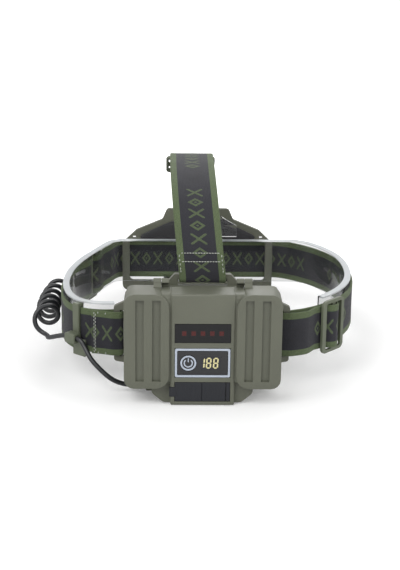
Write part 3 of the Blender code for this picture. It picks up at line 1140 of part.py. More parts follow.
# ---------------------------------------------------------------- lamp
def build_lamp():
    """Lamp body, LED board, LED, O-ring, cable gland; the bezel slides on the body."""
    collar = LAMP_RADIUS - 0.0015
    fins = LAMP_START + 0.0026
    fins_end = BEZEL_START - 0.0008
    profile = [(LAMP_START, 0.0), (LAMP_START, 0.0115), (fins, LAMP_RADIUS)]
    for k in range(FIN_COUNT):
        y = fins + FIN_SLOT / 2 + k * (fins_end - fins) / FIN_COUNT
        profile += [(y, LAMP_RADIUS), (y, LAMP_RADIUS - 0.0034), (y + FIN_SLOT, LAMP_RADIUS - 0.0034),
                    (y + FIN_SLOT, LAMP_RADIUS)]
    ring_y = LAMP_END - 0.0035
    floor = LAMP_END - 0.0070
    profile += [(fins_end, LAMP_RADIUS), (fins_end, collar), (ring_y - 0.0009, collar),
                (ring_y - 0.0009, collar - 0.0012), (ring_y + 0.0009, collar - 0.0012), (ring_y + 0.0009, collar),
                (LAMP_END, collar), (LAMP_END, collar - 0.0022), (floor, collar - 0.0022), (floor, 0.0)]
    body = turned("lamp_body", profile, (0, 0, 0), "Y", aluminium("anodised_body"), sides=40)
    lug_half = EAR_GAP_HALF - GAP
    arc = [(PIVOT_Y - 0.0070 * math.sin(a), -0.0070 * math.cos(a)) for a in np.linspace(0, math.pi, 13)]
    outline = arc + [(LAMP_START + 0.002, 0.0070), (LAMP_START + 0.002, -0.0070)]
    lug = plate("lamp_lug", [outline], -lug_half, lug_half, "YZ", cutter=True)
    join(body, lug)
    bolt_way = rod("lug_bolt_way", (-0.0015, PIVOT_Y, 0), 0.02, 0.0020 + GAP, "X", cutter=True)
    gland_way = rod("lug_gland_way", (-0.02, PIVOT_Y, 0), 0.0150, 0.0030 + GAP, "X", cutter=True)
    cut(body, bolt_way, gland_way)
    board = rod("led_board", (0, floor + GAP, 0), 0.0016, collar - 0.0028, "Y", aluminium("led_board_plate"), sides=32)
    emitter = box("led_emitter", (-0.0035, floor + 2 * GAP + 0.0016, -0.0035), (0.0035, floor + 0.0044, 0.0035),
                  material("led_phosphor", (0.75, 0.68, 0.20), 0.4), bevel=0.0006, segments=1)
    ring = turned("focus_o_ring", [(ring_y + 0.0006 * math.cos(a), collar - 0.0003 + 0.0006 * math.sin(a))
                                   for a in np.linspace(0, math.tau, 8, endpoint=False)], (0, 0, 0), "Y",
                  rubber("o_ring_rubber"), sides=32)
    ear_out = EAR_GAP_HALF + EAR_PLATE
    profile = [(-GLAND_TIP, 0.0), (-GLAND_TIP, 0.0022), (-ear_out - 0.0050, 0.0034), (-ear_out - 0.0045, 0.0048),
               (-ear_out - GAP, 0.0048), (-ear_out - GAP, 0.0030), (-0.0056, 0.0030), (-0.0056, 0.0)]
    gland = turned("lamp_gland", profile[::-1], (0, PIVOT_Y, 0), "X", rubber("lamp_gland_rubber"), sides=20)
    inner = collar + 0.0006
    end = BEZEL_START + BEZEL_LENGTH
    seat_y = end - 0.0064
    sleeve = [(BEZEL_START, inner), (BEZEL_START, BEZEL_RADIUS - 0.0024), (BEZEL_START + 0.0020, BEZEL_RADIUS - 0.0016),
              (end - 0.0100, BEZEL_RADIUS - 0.0016), (end - 0.0085, BEZEL_RADIUS), (end - 0.0008, BEZEL_RADIUS),
              (end, BEZEL_RADIUS - 0.0008), (end, LENS_RADIUS + 0.0020), (end - 0.0020, LENS_RADIUS + 0.0020),
              (end - 0.0020, LENS_RADIUS + GAP), (seat_y, LENS_RADIUS + GAP), (seat_y, inner)]
    bezel = turned("focus_bezel", sleeve, (0, 0, 0), "Y", aluminium("anodised_bezel"), sides=40)
    dome = [(seat_y + GAP, 0.0), (seat_y + GAP, LENS_RADIUS), (seat_y + 0.0020, LENS_RADIUS)]
    dome += [(seat_y + 0.0020 + 0.0030 * math.sin(a), (LENS_RADIUS - 0.0012) * math.cos(a))
             for a in np.linspace(0.0, math.pi / 2, 7)[:-1]]
    dome.append((seat_y + 0.0050, 0.0))
    lens = turned("focus_lens", dome, (0, 0, 0), "Y", clear_sheet("lens_acrylic"), sides=40)
    retainer = [(end - 0.0020 + GAP, LENS_RADIUS - 0.0006), (end - 0.0020 + GAP, LENS_RADIUS + 0.0017),
                (end - 0.0002, LENS_RADIUS + 0.0017), (end - 0.0002, LENS_RADIUS - 0.0006)]
    retainer = turned("lens_retainer", retainer, (0, 0, 0), "Y", aluminium("anodised_retainer"), sides=40)
    pivot("focus_axis", (0, BEZEL_START, 0), [bezel, lens, retainer])
    pivot("lamp_tilt_axis", (0, PIVOT_Y, 0), [body, board, emitter, ring, gland])




def main():
    start_scene()
    build_base()
    cover = build_cover()
    build_case_parts()
    pieces = build_cover_parts()
    pivot("cover_hinge_axis", (0, HINGE_Y, HINGE_Z), [cover] + pieces)
    build_side_straps()
    build_ring_fittings()
    build_headband_former()
    build_top_strap()
    build_top_former()
    build_cable()
    build_bracket()
    build_mount()
    build_lamp()
    bpy.context.view_layer.update()


main()
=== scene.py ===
"""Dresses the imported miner's cap lamp: webbing, cable, moulded case, display and lamp.

Metres, +Z up, the wearer faces +Y.  Run as a script; it is laid out as an add-on so
that each group of pieces is an operator whose sizes and colours can be changed.
"""
import json
import math

import bmesh
import bpy
import numpy as np
from mathutils import Matrix, Vector

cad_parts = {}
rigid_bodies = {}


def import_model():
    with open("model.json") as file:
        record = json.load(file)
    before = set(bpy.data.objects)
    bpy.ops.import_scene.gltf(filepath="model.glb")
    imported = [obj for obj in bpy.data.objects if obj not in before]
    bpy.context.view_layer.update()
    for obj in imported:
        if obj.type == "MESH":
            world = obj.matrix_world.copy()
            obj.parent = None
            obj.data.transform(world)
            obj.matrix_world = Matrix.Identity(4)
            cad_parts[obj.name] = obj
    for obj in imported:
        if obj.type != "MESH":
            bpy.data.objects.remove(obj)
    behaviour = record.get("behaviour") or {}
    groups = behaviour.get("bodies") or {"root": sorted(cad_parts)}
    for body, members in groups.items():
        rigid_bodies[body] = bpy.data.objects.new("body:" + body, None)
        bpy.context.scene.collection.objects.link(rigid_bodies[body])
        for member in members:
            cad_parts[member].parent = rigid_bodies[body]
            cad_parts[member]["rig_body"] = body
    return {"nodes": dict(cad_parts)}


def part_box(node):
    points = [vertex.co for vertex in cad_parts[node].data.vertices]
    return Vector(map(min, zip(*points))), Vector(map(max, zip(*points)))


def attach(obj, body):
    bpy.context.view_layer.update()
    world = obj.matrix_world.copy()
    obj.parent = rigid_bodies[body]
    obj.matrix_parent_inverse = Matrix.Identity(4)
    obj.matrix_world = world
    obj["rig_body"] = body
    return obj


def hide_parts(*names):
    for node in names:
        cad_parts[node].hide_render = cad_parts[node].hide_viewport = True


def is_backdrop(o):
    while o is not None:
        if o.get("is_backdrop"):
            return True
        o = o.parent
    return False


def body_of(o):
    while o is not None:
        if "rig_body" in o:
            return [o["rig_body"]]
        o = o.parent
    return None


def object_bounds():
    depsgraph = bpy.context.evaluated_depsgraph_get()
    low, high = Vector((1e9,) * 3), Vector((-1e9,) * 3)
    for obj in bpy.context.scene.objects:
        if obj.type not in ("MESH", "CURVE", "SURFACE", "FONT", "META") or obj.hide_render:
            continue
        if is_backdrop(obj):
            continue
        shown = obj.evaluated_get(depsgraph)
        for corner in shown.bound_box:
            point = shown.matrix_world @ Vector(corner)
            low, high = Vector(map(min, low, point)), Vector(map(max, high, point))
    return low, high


bl_info = {
    "name": "Cap lamp dressing",
    "version": (1, 0, 0),
    "blender": (4, 5, 0),
    "location": "View3D > Sidebar > Cap lamp",
    "description": "Builds the visible pieces of a strap-worn rechargeable cap lamp",
    "category": "Add Mesh",
}

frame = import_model()
NODES = frame["nodes"]


# ---------------------------------------------------------------- settings
def length(name, description, default, low=0.0, high=1.0):
    return bpy.props.FloatProperty(name=name, description=description, default=default, min=low, max=high,
                                   precision=5, unit="LENGTH")


def colour(name, description, default):
    """A colour property; the default is sRGB hex and is kept as linear light."""
    return bpy.props.FloatVectorProperty(name=name, description=description, default=linear(default), size=3,
                                         min=0.0, max=1.0, subtype="COLOR")


def linear(code):
    """Turn an sRGB hex code into linear red, green and blue."""
    srgb = np.array([int(code[i:i + 2], 16) for i in (1, 3, 5)]) / 255
    return tuple(float(c) for c in np.where(srgb <= 0.04045, srgb / 12.92, ((srgb + 0.055) / 1.055) ** 2.4))


class CaplampStraps(bpy.types.PropertyGroup):
    """Webbing of the two side straps and the top strap."""

    width: length("Width", "Width of the webbing", 0.0300)
    thickness: length("Thickness", "Thickness of the webbing", 0.0015)
    thread: length("Thread spacing", "Distance between two weft ribs", 0.00105)
    border: length("Border", "Width of the green border at each edge", 0.0043)
    motif: length("Motif height", "Height of the woven motif across the strap", 0.0104)
    pitch: length("Motif pitch", "Distance between two motifs along the strap", 0.0088)
    stroke: length("Motif stroke", "Width of the motif's lines", 0.0014)
    ground: colour("Ground", "Charcoal ground of the webbing", "#26262d")
    green: colour("Green", "Green of the borders and the motif", "#5c6a49")
    stitch: colour("Stitch", "Sewing thread", "#c9ccc4")


class CaplampCable(bpy.types.PropertyGroup):
    """Cable from the battery case, through its coil, to the lamp."""

    diameter: length("Diameter", "Outside diameter of the jacket", 0.0032)
    coil: length("Coil", "Outside diameter of the coiled run", 0.0165)
    pitch: length("Coil pitch", "Distance between two turns of the coil", 0.0120)
    jacket: colour("Jacket", "Colour of the jacket", "#1b1c1f")


class CaplampCase(bpy.types.PropertyGroup):
    """Battery case, its window and its display."""

    abs: colour("Case plastic", "Grey-green moulded plastic", "#636558")
    nylon: colour("Fittings", "Green-grey of the sliders and buckle", "#646a58")
    rim: colour("Display rim", "Pale grey rim and button marks", "#b9c2d0")
    digits: colour("Digits", "Lit segments of the display", "#d9d09c")
    segment: length("Digit height", "Height of one digit", 0.0074)
    ring: length("Button ring", "Outside diameter of the ring on the button", 0.0104)


class CaplampLamp(bpy.types.PropertyGroup):
    """Lamp head, its lens and its light source."""

    anodised: colour("Anodised metal", "Black anodised aluminium", "#232427")
    phosphor: colour("Phosphor", "Yellow phosphor of the light source", "#e5cf4a")
    ribs: bpy.props.IntProperty(name="Grip ribs", description="Ribs round the focus bezel", default=48,
                                 min=8, max=120)


class CaplampStage(bpy.types.PropertyGroup):
    """Floor, lights and camera."""

    azimuth: bpy.props.FloatProperty(name="Azimuth", description="Camera azimuth", default=math.radians(-1.27),
                                     subtype="ANGLE")
    elevation: bpy.props.FloatProperty(name="Elevation", description="Camera elevation", default=math.radians(17.1),
                                       subtype="ANGLE")
    roll: bpy.props.FloatProperty(name="Roll", description="Camera roll", default=math.radians(0.7),
                                  subtype="ANGLE")
    distance: length("Distance", "Camera to the middle of the lamp", 1.005, 0.1, 10.0)
    lens: bpy.props.FloatProperty(name="Lens", description="Focal length on a 36 mm wide sensor", default=126.45,
                                  min=10, max=500)


def settings(name):
    return getattr(bpy.context.scene, "caplamp_" + name)


# ---------------------------------------------------------------- nodes and materials
def add(tree, kind, *values, out=0, sockets=None, **chosen):
    """Add a shader node and return one of its outputs.

    values fill its sockets in order, sockets fills them by name or number, each with a
    number, a colour or another node's output; chosen sets the node's own values.
    """
    made = tree.nodes.new("ShaderNode" + kind)
    for key, value in chosen.items():
        setattr(made, key, value)
    for key, value in [*enumerate(values), *(sockets or {}).items()]:
        if isinstance(value, bpy.types.NodeSocket):
            tree.links.new(value, made.inputs[key])
        elif value is not None:
            made.inputs[key].default_value = value
    return made.outputs[out]


def rgba(value):
    return (*value[:3], 1.0)


def principled(name, tint, roughness, **values):
    """A material with plain values on its Principled shader; returns material, tree and shader."""
    mat = bpy.data.materials.new(name)
    mat.use_nodes = True
    tree = mat.node_tree
    shader = tree.nodes["Principled BSDF"]
    shader.inputs["Base Color"].default_value = rgba(tint)
    shader.inputs["Roughness"].default_value = roughness
    for key, value in values.items():
        shader.inputs[key.replace("_", " ")].default_value = value
    return mat, tree, shader


def grained(name, tint, roughness, grain, depth, drift=0.05, rough_drift=0.07, **values):
    """A moulded, cast or coated surface: fine grain as bump, whose height also tints the colour as painted light and
    shade, and a slow drift of colour and gloss.

    grain is the size of its texture and depth the texture's height, both in metres.
    """
    mat, tree, shader = principled(name, tint, roughness, **values)
    where = add(tree, "TexCoord", out="Object")
    fine = add(tree, "TexNoise", where, sockets={"Scale": 1 / grain, "Detail": 3.0, "Roughness": 0.6})
    slow = add(tree, "TexNoise", where, sockets={"Scale": 38.0, "Detail": 4.0, "Roughness": 0.55})
    shade = add(tree, "MapRange", slow, 0.3, 0.7, 1 - drift, 1 + drift)
    # painted light and shade: the colour follows the fine grain's height, lighter on its rises and darker in its pits
    fine_tint = add(tree, "MapRange", fine, 0.3, 0.7, 1 - drift * 0.7, 1 + drift * 0.7)
    both = add(tree, "Math", shade, fine_tint, operation="MULTIPLY")
    tinted = add(tree, "Mix", sockets={0: 1.0, 6: rgba(tint), 7: both}, out=2, data_type="RGBA",
                 blend_type="MULTIPLY")
    tree.links.new(tinted, shader.inputs["Base Color"])
    rough = add(tree, "MapRange", slow, 0.3, 0.7, roughness - rough_drift, roughness + rough_drift)
    tree.links.new(rough, shader.inputs["Roughness"])
    bump = add(tree, "Bump", sockets={"Height": fine, "Distance": depth, "Strength": 1.0})
    tree.links.new(bump, shader.inputs["Normal"])
    return mat


def dress(mat, *names):
    """Give CAD nodes or pieces that material."""
    for name in names:
        obj = NODES.get(name) or bpy.data.objects[name]
        if not obj.data.materials:
            obj.data.materials.append(mat)
        for i in range(len(obj.material_slots)):
            obj.material_slots[i].material = mat


# ---------------------------------------------------------------- surfaces
def surface(name, grid, closed_u=False, closed_v=False, caps=False, uv=None, smooth=True):
    """A mesh over a grid of points, shape (rows, columns, 3); columns run across, rows along.

    closed_u joins the last row to the first and closed_v the last column to the first.
    caps closes the first and last row with a fan about its mean point.
    """
    grid = np.asarray(grid, float)
    rows, columns = grid.shape[:2]
    index = np.arange(rows * columns).reshape(rows, columns)
    if closed_u:
        index = np.vstack([index, index[:1]])
    if closed_v:
        index = np.hstack([index, index[:, :1]])
    quads = np.stack([index[:-1, :-1], index[:-1, 1:], index[1:, 1:], index[1:, :-1]], axis=-1).reshape(-1, 4)
    points = grid.reshape(-1, 3)
    faces = quads.tolist()
    if caps:
        for row, turn in ((0, 1), (rows - 1, -1)):
            middle = len(points)
            points = np.vstack([points, grid[row].mean(axis=0)])
            rim = index[row][::turn]
            faces += [[middle, int(b), int(a)] for a, b in zip(rim[:-1], rim[1:])]
    mesh = bpy.data.meshes.new(name)
    mesh.from_pydata(points.tolist(), [], faces)
    if uv is not None:
        uv = np.asarray(uv, float).reshape(-1, 2)
        if len(points) > len(uv):
            uv = np.vstack([uv, np.repeat(uv[-1:], len(points) - len(uv), axis=0)])
        corner = np.zeros(len(mesh.loops), int)
        mesh.loops.foreach_get("vertex_index", corner)
        mesh.uv_layers.new(name="length_width").data.foreach_set("uv", uv[corner].ravel())
    return link(name, mesh, smooth)


def link(name, mesh, smooth=True, sharp=None):
    """Put a mesh in the scene as an object at the origin, with its faces turned outwards."""
    bm = bmesh.new()
    bm.from_mesh(mesh)
    bmesh.ops.recalc_face_normals(bm, faces=bm.faces)
    bm.to_mesh(mesh)
    bm.free()
    mesh.polygons.foreach_set("use_smooth", [smooth] * len(mesh.polygons))
    if sharp is not None:
        mesh.set_sharp_from_angle(angle=math.radians(sharp))
    obj = bpy.data.objects.new(name, mesh)
    bpy.context.scene.collection.objects.link(obj)
    return obj


def merged(name, parts, smooth=True, sharp=None):
    """One object from several (points, faces) pieces."""
    points, faces, start = [], [], 0
    for coords, polygons in parts:
        points.append(np.asarray(coords, float))
        faces += [[int(i) + start for i in face] for face in polygons]
        start += len(coords)
    mesh = bpy.data.meshes.new(name)
    mesh.from_pydata(np.vstack(points).tolist(), [], faces)
    return link(name, mesh, smooth, sharp)


def remoulded(name, node, radius=0.0, sharp=32, body=None):
    """A finished copy of a moulded CAD piece: merged, its flat faces joined, its hard edges eased.

    The copy stands for the node and rides on the same body.
    """
    bm = bmesh.new()
    bm.from_mesh(NODES[node].data)
    bmesh.ops.remove_doubles(bm, verts=bm.verts, dist=2e-6)
    bmesh.ops.dissolve_limit(bm, angle_limit=math.radians(0.6), verts=bm.verts, edges=bm.edges)
    mesh = bpy.data.meshes.new(name)
    bm.to_mesh(mesh)
    bm.free()
    obj = link(name, mesh, True, sharp)
    if radius:
        bevel = obj.modifiers.new("eased edges", "BEVEL")
        bevel.width = radius
        bevel.segments = 2
        bevel.limit_method = "ANGLE"
        bevel.angle_limit = math.radians(40)
        bevel.harden_normals = True
        bevel.use_clamp_overlap = True
    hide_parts(node)
    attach(obj, body_of(NODES[node])[0] if body is None else body)
    return obj


def sweep(path, section, up=None):
    """Carry a closed section (columns across, out) along a path.

    Each point of the surface is the path's point plus the section's first value along
    the side vector and its second along the outward vector.  With up given, the side
    vector is up and the outward one is square to it and the path; without it, both are
    carried along with the least twist.
    """
    path = np.asarray(path, float)
    along = np.gradient(path, axis=0)
    along /= np.linalg.norm(along, axis=1)[:, None]
    if up is not None:
        side = np.repeat(np.asarray([up], float), len(path), axis=0)
    else:
        side = np.zeros_like(path)
        side[0] = np.cross(along[0], (0.0, 0.0, 1.0))
        side[0] /= np.linalg.norm(side[0])
        for i in range(1, len(path)):
            side[i] = side[i - 1] - along[i] * (side[i - 1] @ along[i])
            side[i] /= np.linalg.norm(side[i])
    out = np.cross(side, along)
    section = np.asarray(section, float)
    if section.ndim == 2:
        section = np.repeat(section[None], len(path), axis=0)
    return path[:, None] + side[:, None] * section[..., :1] + out[:, None] * section[..., 1:]


def lathe(profile, sides=64, axis="Y", centre=(0.0, 0.0, 0.0)):
    """Turn a profile of (place along the axis, radius) pairs about the axis."""
    profile = np.asarray(profile, float)
    angle = np.linspace(0, math.tau, sides, endpoint=False)
    flat = np.stack([np.outer(profile[:, 1], np.cos(angle)), np.outer(profile[:, 1], np.sin(angle))], axis=-1)
    level = np.repeat(profile[:, :1, None], sides, axis=1)
    order = {"X": (2, 0, 1), "Y": (1, 2, 0), "Z": (0, 1, 2)}[axis]
    return np.concatenate([flat, level], axis=-1)[..., order] + np.asarray(centre)


def spread(dense, step):
    """Resample a path at even spacing, about one step apart."""
    dense = np.asarray(dense, float)
    far = np.r_[0, np.cumsum(np.linalg.norm(np.diff(dense, axis=0), axis=1))]
    where = np.linspace(0, far[-1], max(2, int(round(far[-1] / step)) + 1))
    return np.stack([np.interp(where, far, dense[:, k]) for k in range(dense.shape[1])], axis=1)


def smooth(points, step):
    """Even points on a Catmull-Rom curve through the given ones.

    Between two of them it is half of 2b + (c - a) t + (2a - 5b + 4c - d) t^2
    + (3b - a - 3c + d) t^3, with a, b, c, d four neighbours.
    """
    pts = np.array(points, float)
    ends = np.vstack([2 * pts[0] - pts[1], pts, 2 * pts[-1] - pts[-2]])
    a, b, c, d = (ends[k:len(pts) - 1 + k, None] for k in range(4))
    t = np.linspace(0, 1, 24, endpoint=False)[None, :, None]
    curve = 0.5 * (2 * b + (c - a) * t + (2 * a - 5 * b + 4 * c - d) * t ** 2 + (3 * b - a - 3 * c + d) * t ** 3)
    return spread(np.vstack([curve.reshape(-1, pts.shape[1]), pts[-1:]]), step)


# ---------------------------------------------------------------- the lines that the straps follow
GAP = 0.0003
STRAP_THICK = 0.0016
STRAP_WRAP = GAP + STRAP_THICK / 2 + 0.0001
LAYER = STRAP_THICK + 0.0006
EAR_X, EAR_Y, EAR_WIDTH, EAR_THICK = 0.0556, -0.0890, 0.0038, 0.0034
EAR_RUN = EAR_THICK / 2 + STRAP_WRAP
FRONT_STRAP_Y = 0.0893
FRAME_Y, FRAME_Z, FRAME_THICK, FRAME_HEIGHT = -0.0920, 0.0399, 0.0040, 0.0032
BRACKET_Y, BRACKET_THICK, TOP_BAR_Z, TOP_BAR_HEIGHT = 0.0843, 0.0034, 0.0391, 0.0036
ARCH_HEIGHT = 0.0603
LEAN, LEAN_RISE = -0.0065, 0.65
PIVOT_Y = 0.1120


class Line:
    """A smooth open line in a plane; places on it are given by distance along and beside it."""

    def __init__(self, dense):
        self.points = spread(dense, 0.001)
        self.along = np.r_[0, np.cumsum(np.linalg.norm(np.diff(self.points, axis=0), axis=1))]
        self.length = self.along[-1]
        tangent = np.gradient(self.points, axis=0)
        self.tangent = tangent / np.linalg.norm(tangent, axis=1)[:, None]

    def frame(self, s):
        """Point, tangent and outward normal at a distance along."""
        at = [np.interp(s, self.along, col) for col in (*self.points.T, *self.tangent.T)]
        tangent = np.array(at[2:]) / np.hypot(*at[2:])
        return np.array(at[:2]), tangent, np.array((-tangent[1], tangent[0]))

    def offset(self, pairs):
        return [self.frame(s)[0] + self.frame(s)[2] * d for s, d in pairs]

    def level(self, s0, s1, beside=0.0, step=0.005):
        """Even places at one distance beside the line."""
        return self.offset([(s, beside) for s in np.linspace(s0, s1, max(2, int(abs(s1 - s0) / step) + 1))])

    def beside(self, middle, pairs):
        """Places in the straight frame of a fitting at middle."""
        place, tangent, normal = self.frame(middle)
        return [place + tangent * u + normal * v for u, v in pairs]

    def nearest(self, axis, value):
        return float(self.along[np.nonzero(np.diff(np.sign(self.points[:, axis] - value)))[0][0]])


LEFT_SHAPE = ((0.69, -0.914), (0.81, -0.879), (0.90, -0.795), (0.958, -0.658), (0.99, -0.474), (0.995, -0.263),
              (0.966, 0.0), (0.897, 0.263), (0.806, 0.505), (0.726, 0.716), (0.676, 0.842), (0.636, 0.960))


def half_ring(reach, back, front, square):
    """x = reach sin(t)^(2/n), y = -depth cos(t)^(2/n): half a superellipse of exponent n."""
    t = np.linspace(0.02, math.pi - 0.02, 240)
    x = reach * np.sin(t) ** (2 / square)
    depth = np.where(np.cos(t) > 0, back, front)
    return np.stack([x, -depth * np.sign(np.cos(t)) * np.abs(np.cos(t)) ** (2 / square)], axis=1)


def sideways(y, z):
    """Lean of the top strap: -6.5 mm t behind and -6.5 mm (3t^2 - 2t^3) in front, t its share of the height."""
    t = np.clip((z - FRAME_Z) / ARCH_HEIGHT / np.where(y > 0, LEAN_RISE, 1.0), 0.0, 1.0)
    return LEAN * np.where(y > 0, 3 * t ** 2 - 2 * t ** 3, t)


def left_side(start):
    """Left side of the ring, through points given as shares of its reach and half depth."""
    shape = [(-0.0955 * a, 0.0950 * b) for a, b in LEFT_SHAPE]
    line = Line(smooth([start, *shape], 0.001))
    return np.array(line.offset([(s, 0.0) for s in np.arange(0.006, line.length, 0.001)]))


def head_ring():
    """Left side, straight front and right half ring, eased three times by a running mean of nine."""
    start_y = EAR_Y + EAR_RUN
    left = left_side((-EAR_X, start_y))
    right = half_ring(0.1075, 0.0983, 0.1020, 2.3)
    left = left[left[:, 1] < FRONT_STRAP_Y - 0.0005]
    right = right[(right[:, 1] < FRONT_STRAP_Y - 0.0005) & ((right[:, 0] > EAR_X + 0.006) | (right[:, 1] > 0))]
    path = spread(np.vstack([[(-EAR_X, start_y)], left, right[::-1], [(EAR_X, start_y)]]), 0.001)
    kernel = np.ones(9) / 9
    for _ in range(3):
        padded = np.vstack([np.repeat(path[:1], 4, axis=0), path, np.repeat(path[-1:], 4, axis=0)])
        eased = np.stack([np.convolve(padded[:, k], kernel, "valid") for k in (0, 1)], axis=1)
        eased[0], eased[-1] = path[0], path[-1]
        path = eased
    return Line(path)


def crown_arch():
    """y = middle - half cos(t)^(2/n), z = base + height sin(t)^(2/n), n 2.3 behind and 1.9 in front."""
    y0 = FRAME_Y - FRAME_THICK / 2 - STRAP_WRAP
    y1 = BRACKET_Y - BRACKET_THICK / 2 - STRAP_WRAP
    t = np.linspace(0.0, math.pi, 400)
    power = np.where(t < math.pi / 2, 2 / 2.3, 2 / 1.9)
    y = (y0 + y1) / 2 - (y1 - y0) / 2 * np.sign(np.cos(t)) * np.abs(np.cos(t)) ** power
    z = FRAME_Z + (TOP_BAR_Z - FRAME_Z) * t / math.pi + ARCH_HEIGHT * np.abs(np.sin(t)) ** power
    return Line(np.stack([y, z], axis=1))


RING, ARCH = head_ring(), crown_arch()
SLIDER_LEFT_AT = RING.nearest(1, 0.0400)
SLIDER_RIGHT_AT = RING.length - 0.0345
SLIDER_TOP_AT = ARCH.nearest(0, 0.0620)
BUCKLE_AT = RING.nearest(0, -0.0815)
COIL_FROM, COIL_TO = RING.nearest(1, -0.0550), RING.nearest(1, 0.0120)
WEAVE = [(0.0088, 0.0019), (0.0069, 0.0022), (0.0049, 0.0041), (0.0031, 0.0064), (0.0, 0.0075), (-0.0031, 0.0064),
         (-0.0049, 0.0041), (-0.0069, 0.0022), (-0.0088, 0.0019)]


def wrap(centre, half_u, half_v, begin, sweep):
    """Half turn of strap round a bar: a superellipse of exponent 3.2 just outside the bar."""
    reach_u, reach_v = half_u + STRAP_WRAP, half_v + STRAP_WRAP
    across = begin % 180 == 0
    if across:
        reach_v += 0.0006
    else:
        reach_u += 0.0006
    a = np.radians(np.linspace(begin, begin + sweep, 13))
    c, s = np.cos(a), np.sin(a)
    power = 2 / 3.2
    u = centre[0] + reach_u * np.sign(c) * np.abs(c) ** power * (np.abs(c) > 1e-9)
    v = centre[1] + reach_v * np.sign(s) * np.abs(s) ** power * (np.abs(s) > 1e-9)
    points = list(zip(u, v))
    if across:
        beyond = math.copysign(half_v + 0.0008, centre[1] - v[6])
        ends = [(p[0], centre[1] + beyond) for p in (points[0], points[-1])]
    else:
        beyond = math.copysign(half_u + 0.0008, centre[0] - u[6])
        ends = [(centre[0] + beyond, p[1]) for p in (points[0], points[-1])]
    return ends[:1] + points + ends[1:]


def woven(line, middle):
    """Second layer of strap through a slider."""
    lead = line.offset([(middle + 0.0150, LAYER + 0.0002), (middle + 0.0115, LAYER + 0.0002)])
    return lead + line.beside(middle, WEAVE) + line.offset([(middle - 0.0115, LAYER), (middle - 0.0160, LAYER)])


def slider_loop(side):
    """Sewn loop of strap round one outer bar of the left slider, under the bar and back outside it."""
    bar, run = side * 0.00825, 0.0015 + STRAP_WRAP + 0.0002
    a = np.linspace(0.45, math.pi - 0.45, 7)
    turn = zip(bar - side * (0.00175 + STRAP_WRAP + 0.0010) * np.sin(a) ** (2 / 3.2), -run * np.cos(a))
    near = [(bar + side * 0.0030, -run + 0.0001), (bar, -run), *turn, (bar, run),
            (bar + side * 0.0030, run - 0.0001)]
    away = SLIDER_LEFT_AT + bar
    tail = RING.offset([(away + side * 0.0090, LAYER + 0.0002), (away + side * 0.0140, LAYER)])
    return RING.offset([(away + side * 0.0130, -0.0003)]) + RING.beside(SLIDER_LEFT_AT, near) + tail


def ear_turn(side):
    points = wrap((0.0, EAR_Y), EAR_WIDTH / 2, EAR_THICK / 2, 90, -180)
    return [(side * (EAR_X - u), v) for u, v in points]


def left_line():
    lead = 0.0100 + 0.0160
    outer = RING.offset([(0.0160, LAYER), (0.0110, LAYER + 0.0002), (0.0060, 0.0042)])
    return outer + ear_turn(-1)[::-1] + RING.level(0.0060, SLIDER_LEFT_AT - lead) + slider_loop(-1)


def right_line():
    end, lead = RING.length, 0.0100 + 0.0160
    outer = RING.offset([(end - 0.0060, 0.0062), (end - 0.0120, 0.0056)])
    run = RING.level(SLIDER_LEFT_AT + lead, end - 0.0060)
    return slider_loop(1)[::-1] + run + ear_turn(1) + outer + woven(RING, SLIDER_RIGHT_AT)


def top_line():
    end, mid = ARCH.length, SLIDER_TOP_AT
    tail = ARCH.offset([(0.0205, -LAYER), (0.0120, -LAYER - 0.0010), (0.0055, -0.0058)])
    turn = wrap((FRAME_Y, FRAME_Z), FRAME_THICK / 2, FRAME_HEIGHT / 2, 0, -180)
    far = wrap((BRACKET_Y, TOP_BAR_Z), BRACKET_THICK / 2, TOP_BAR_HEIGHT / 2, 180, 180)
    outer = ARCH.offset([(end - 0.0060, 0.0052), (end - 0.0120, 0.0032)])
    outer += ARCH.level(end - 0.0180, mid + 0.0200, LAYER + 0.0002) + woven(ARCH, mid)
    return tail + turn + ARCH.level(0.0045, end - 0.0050) + far + outer


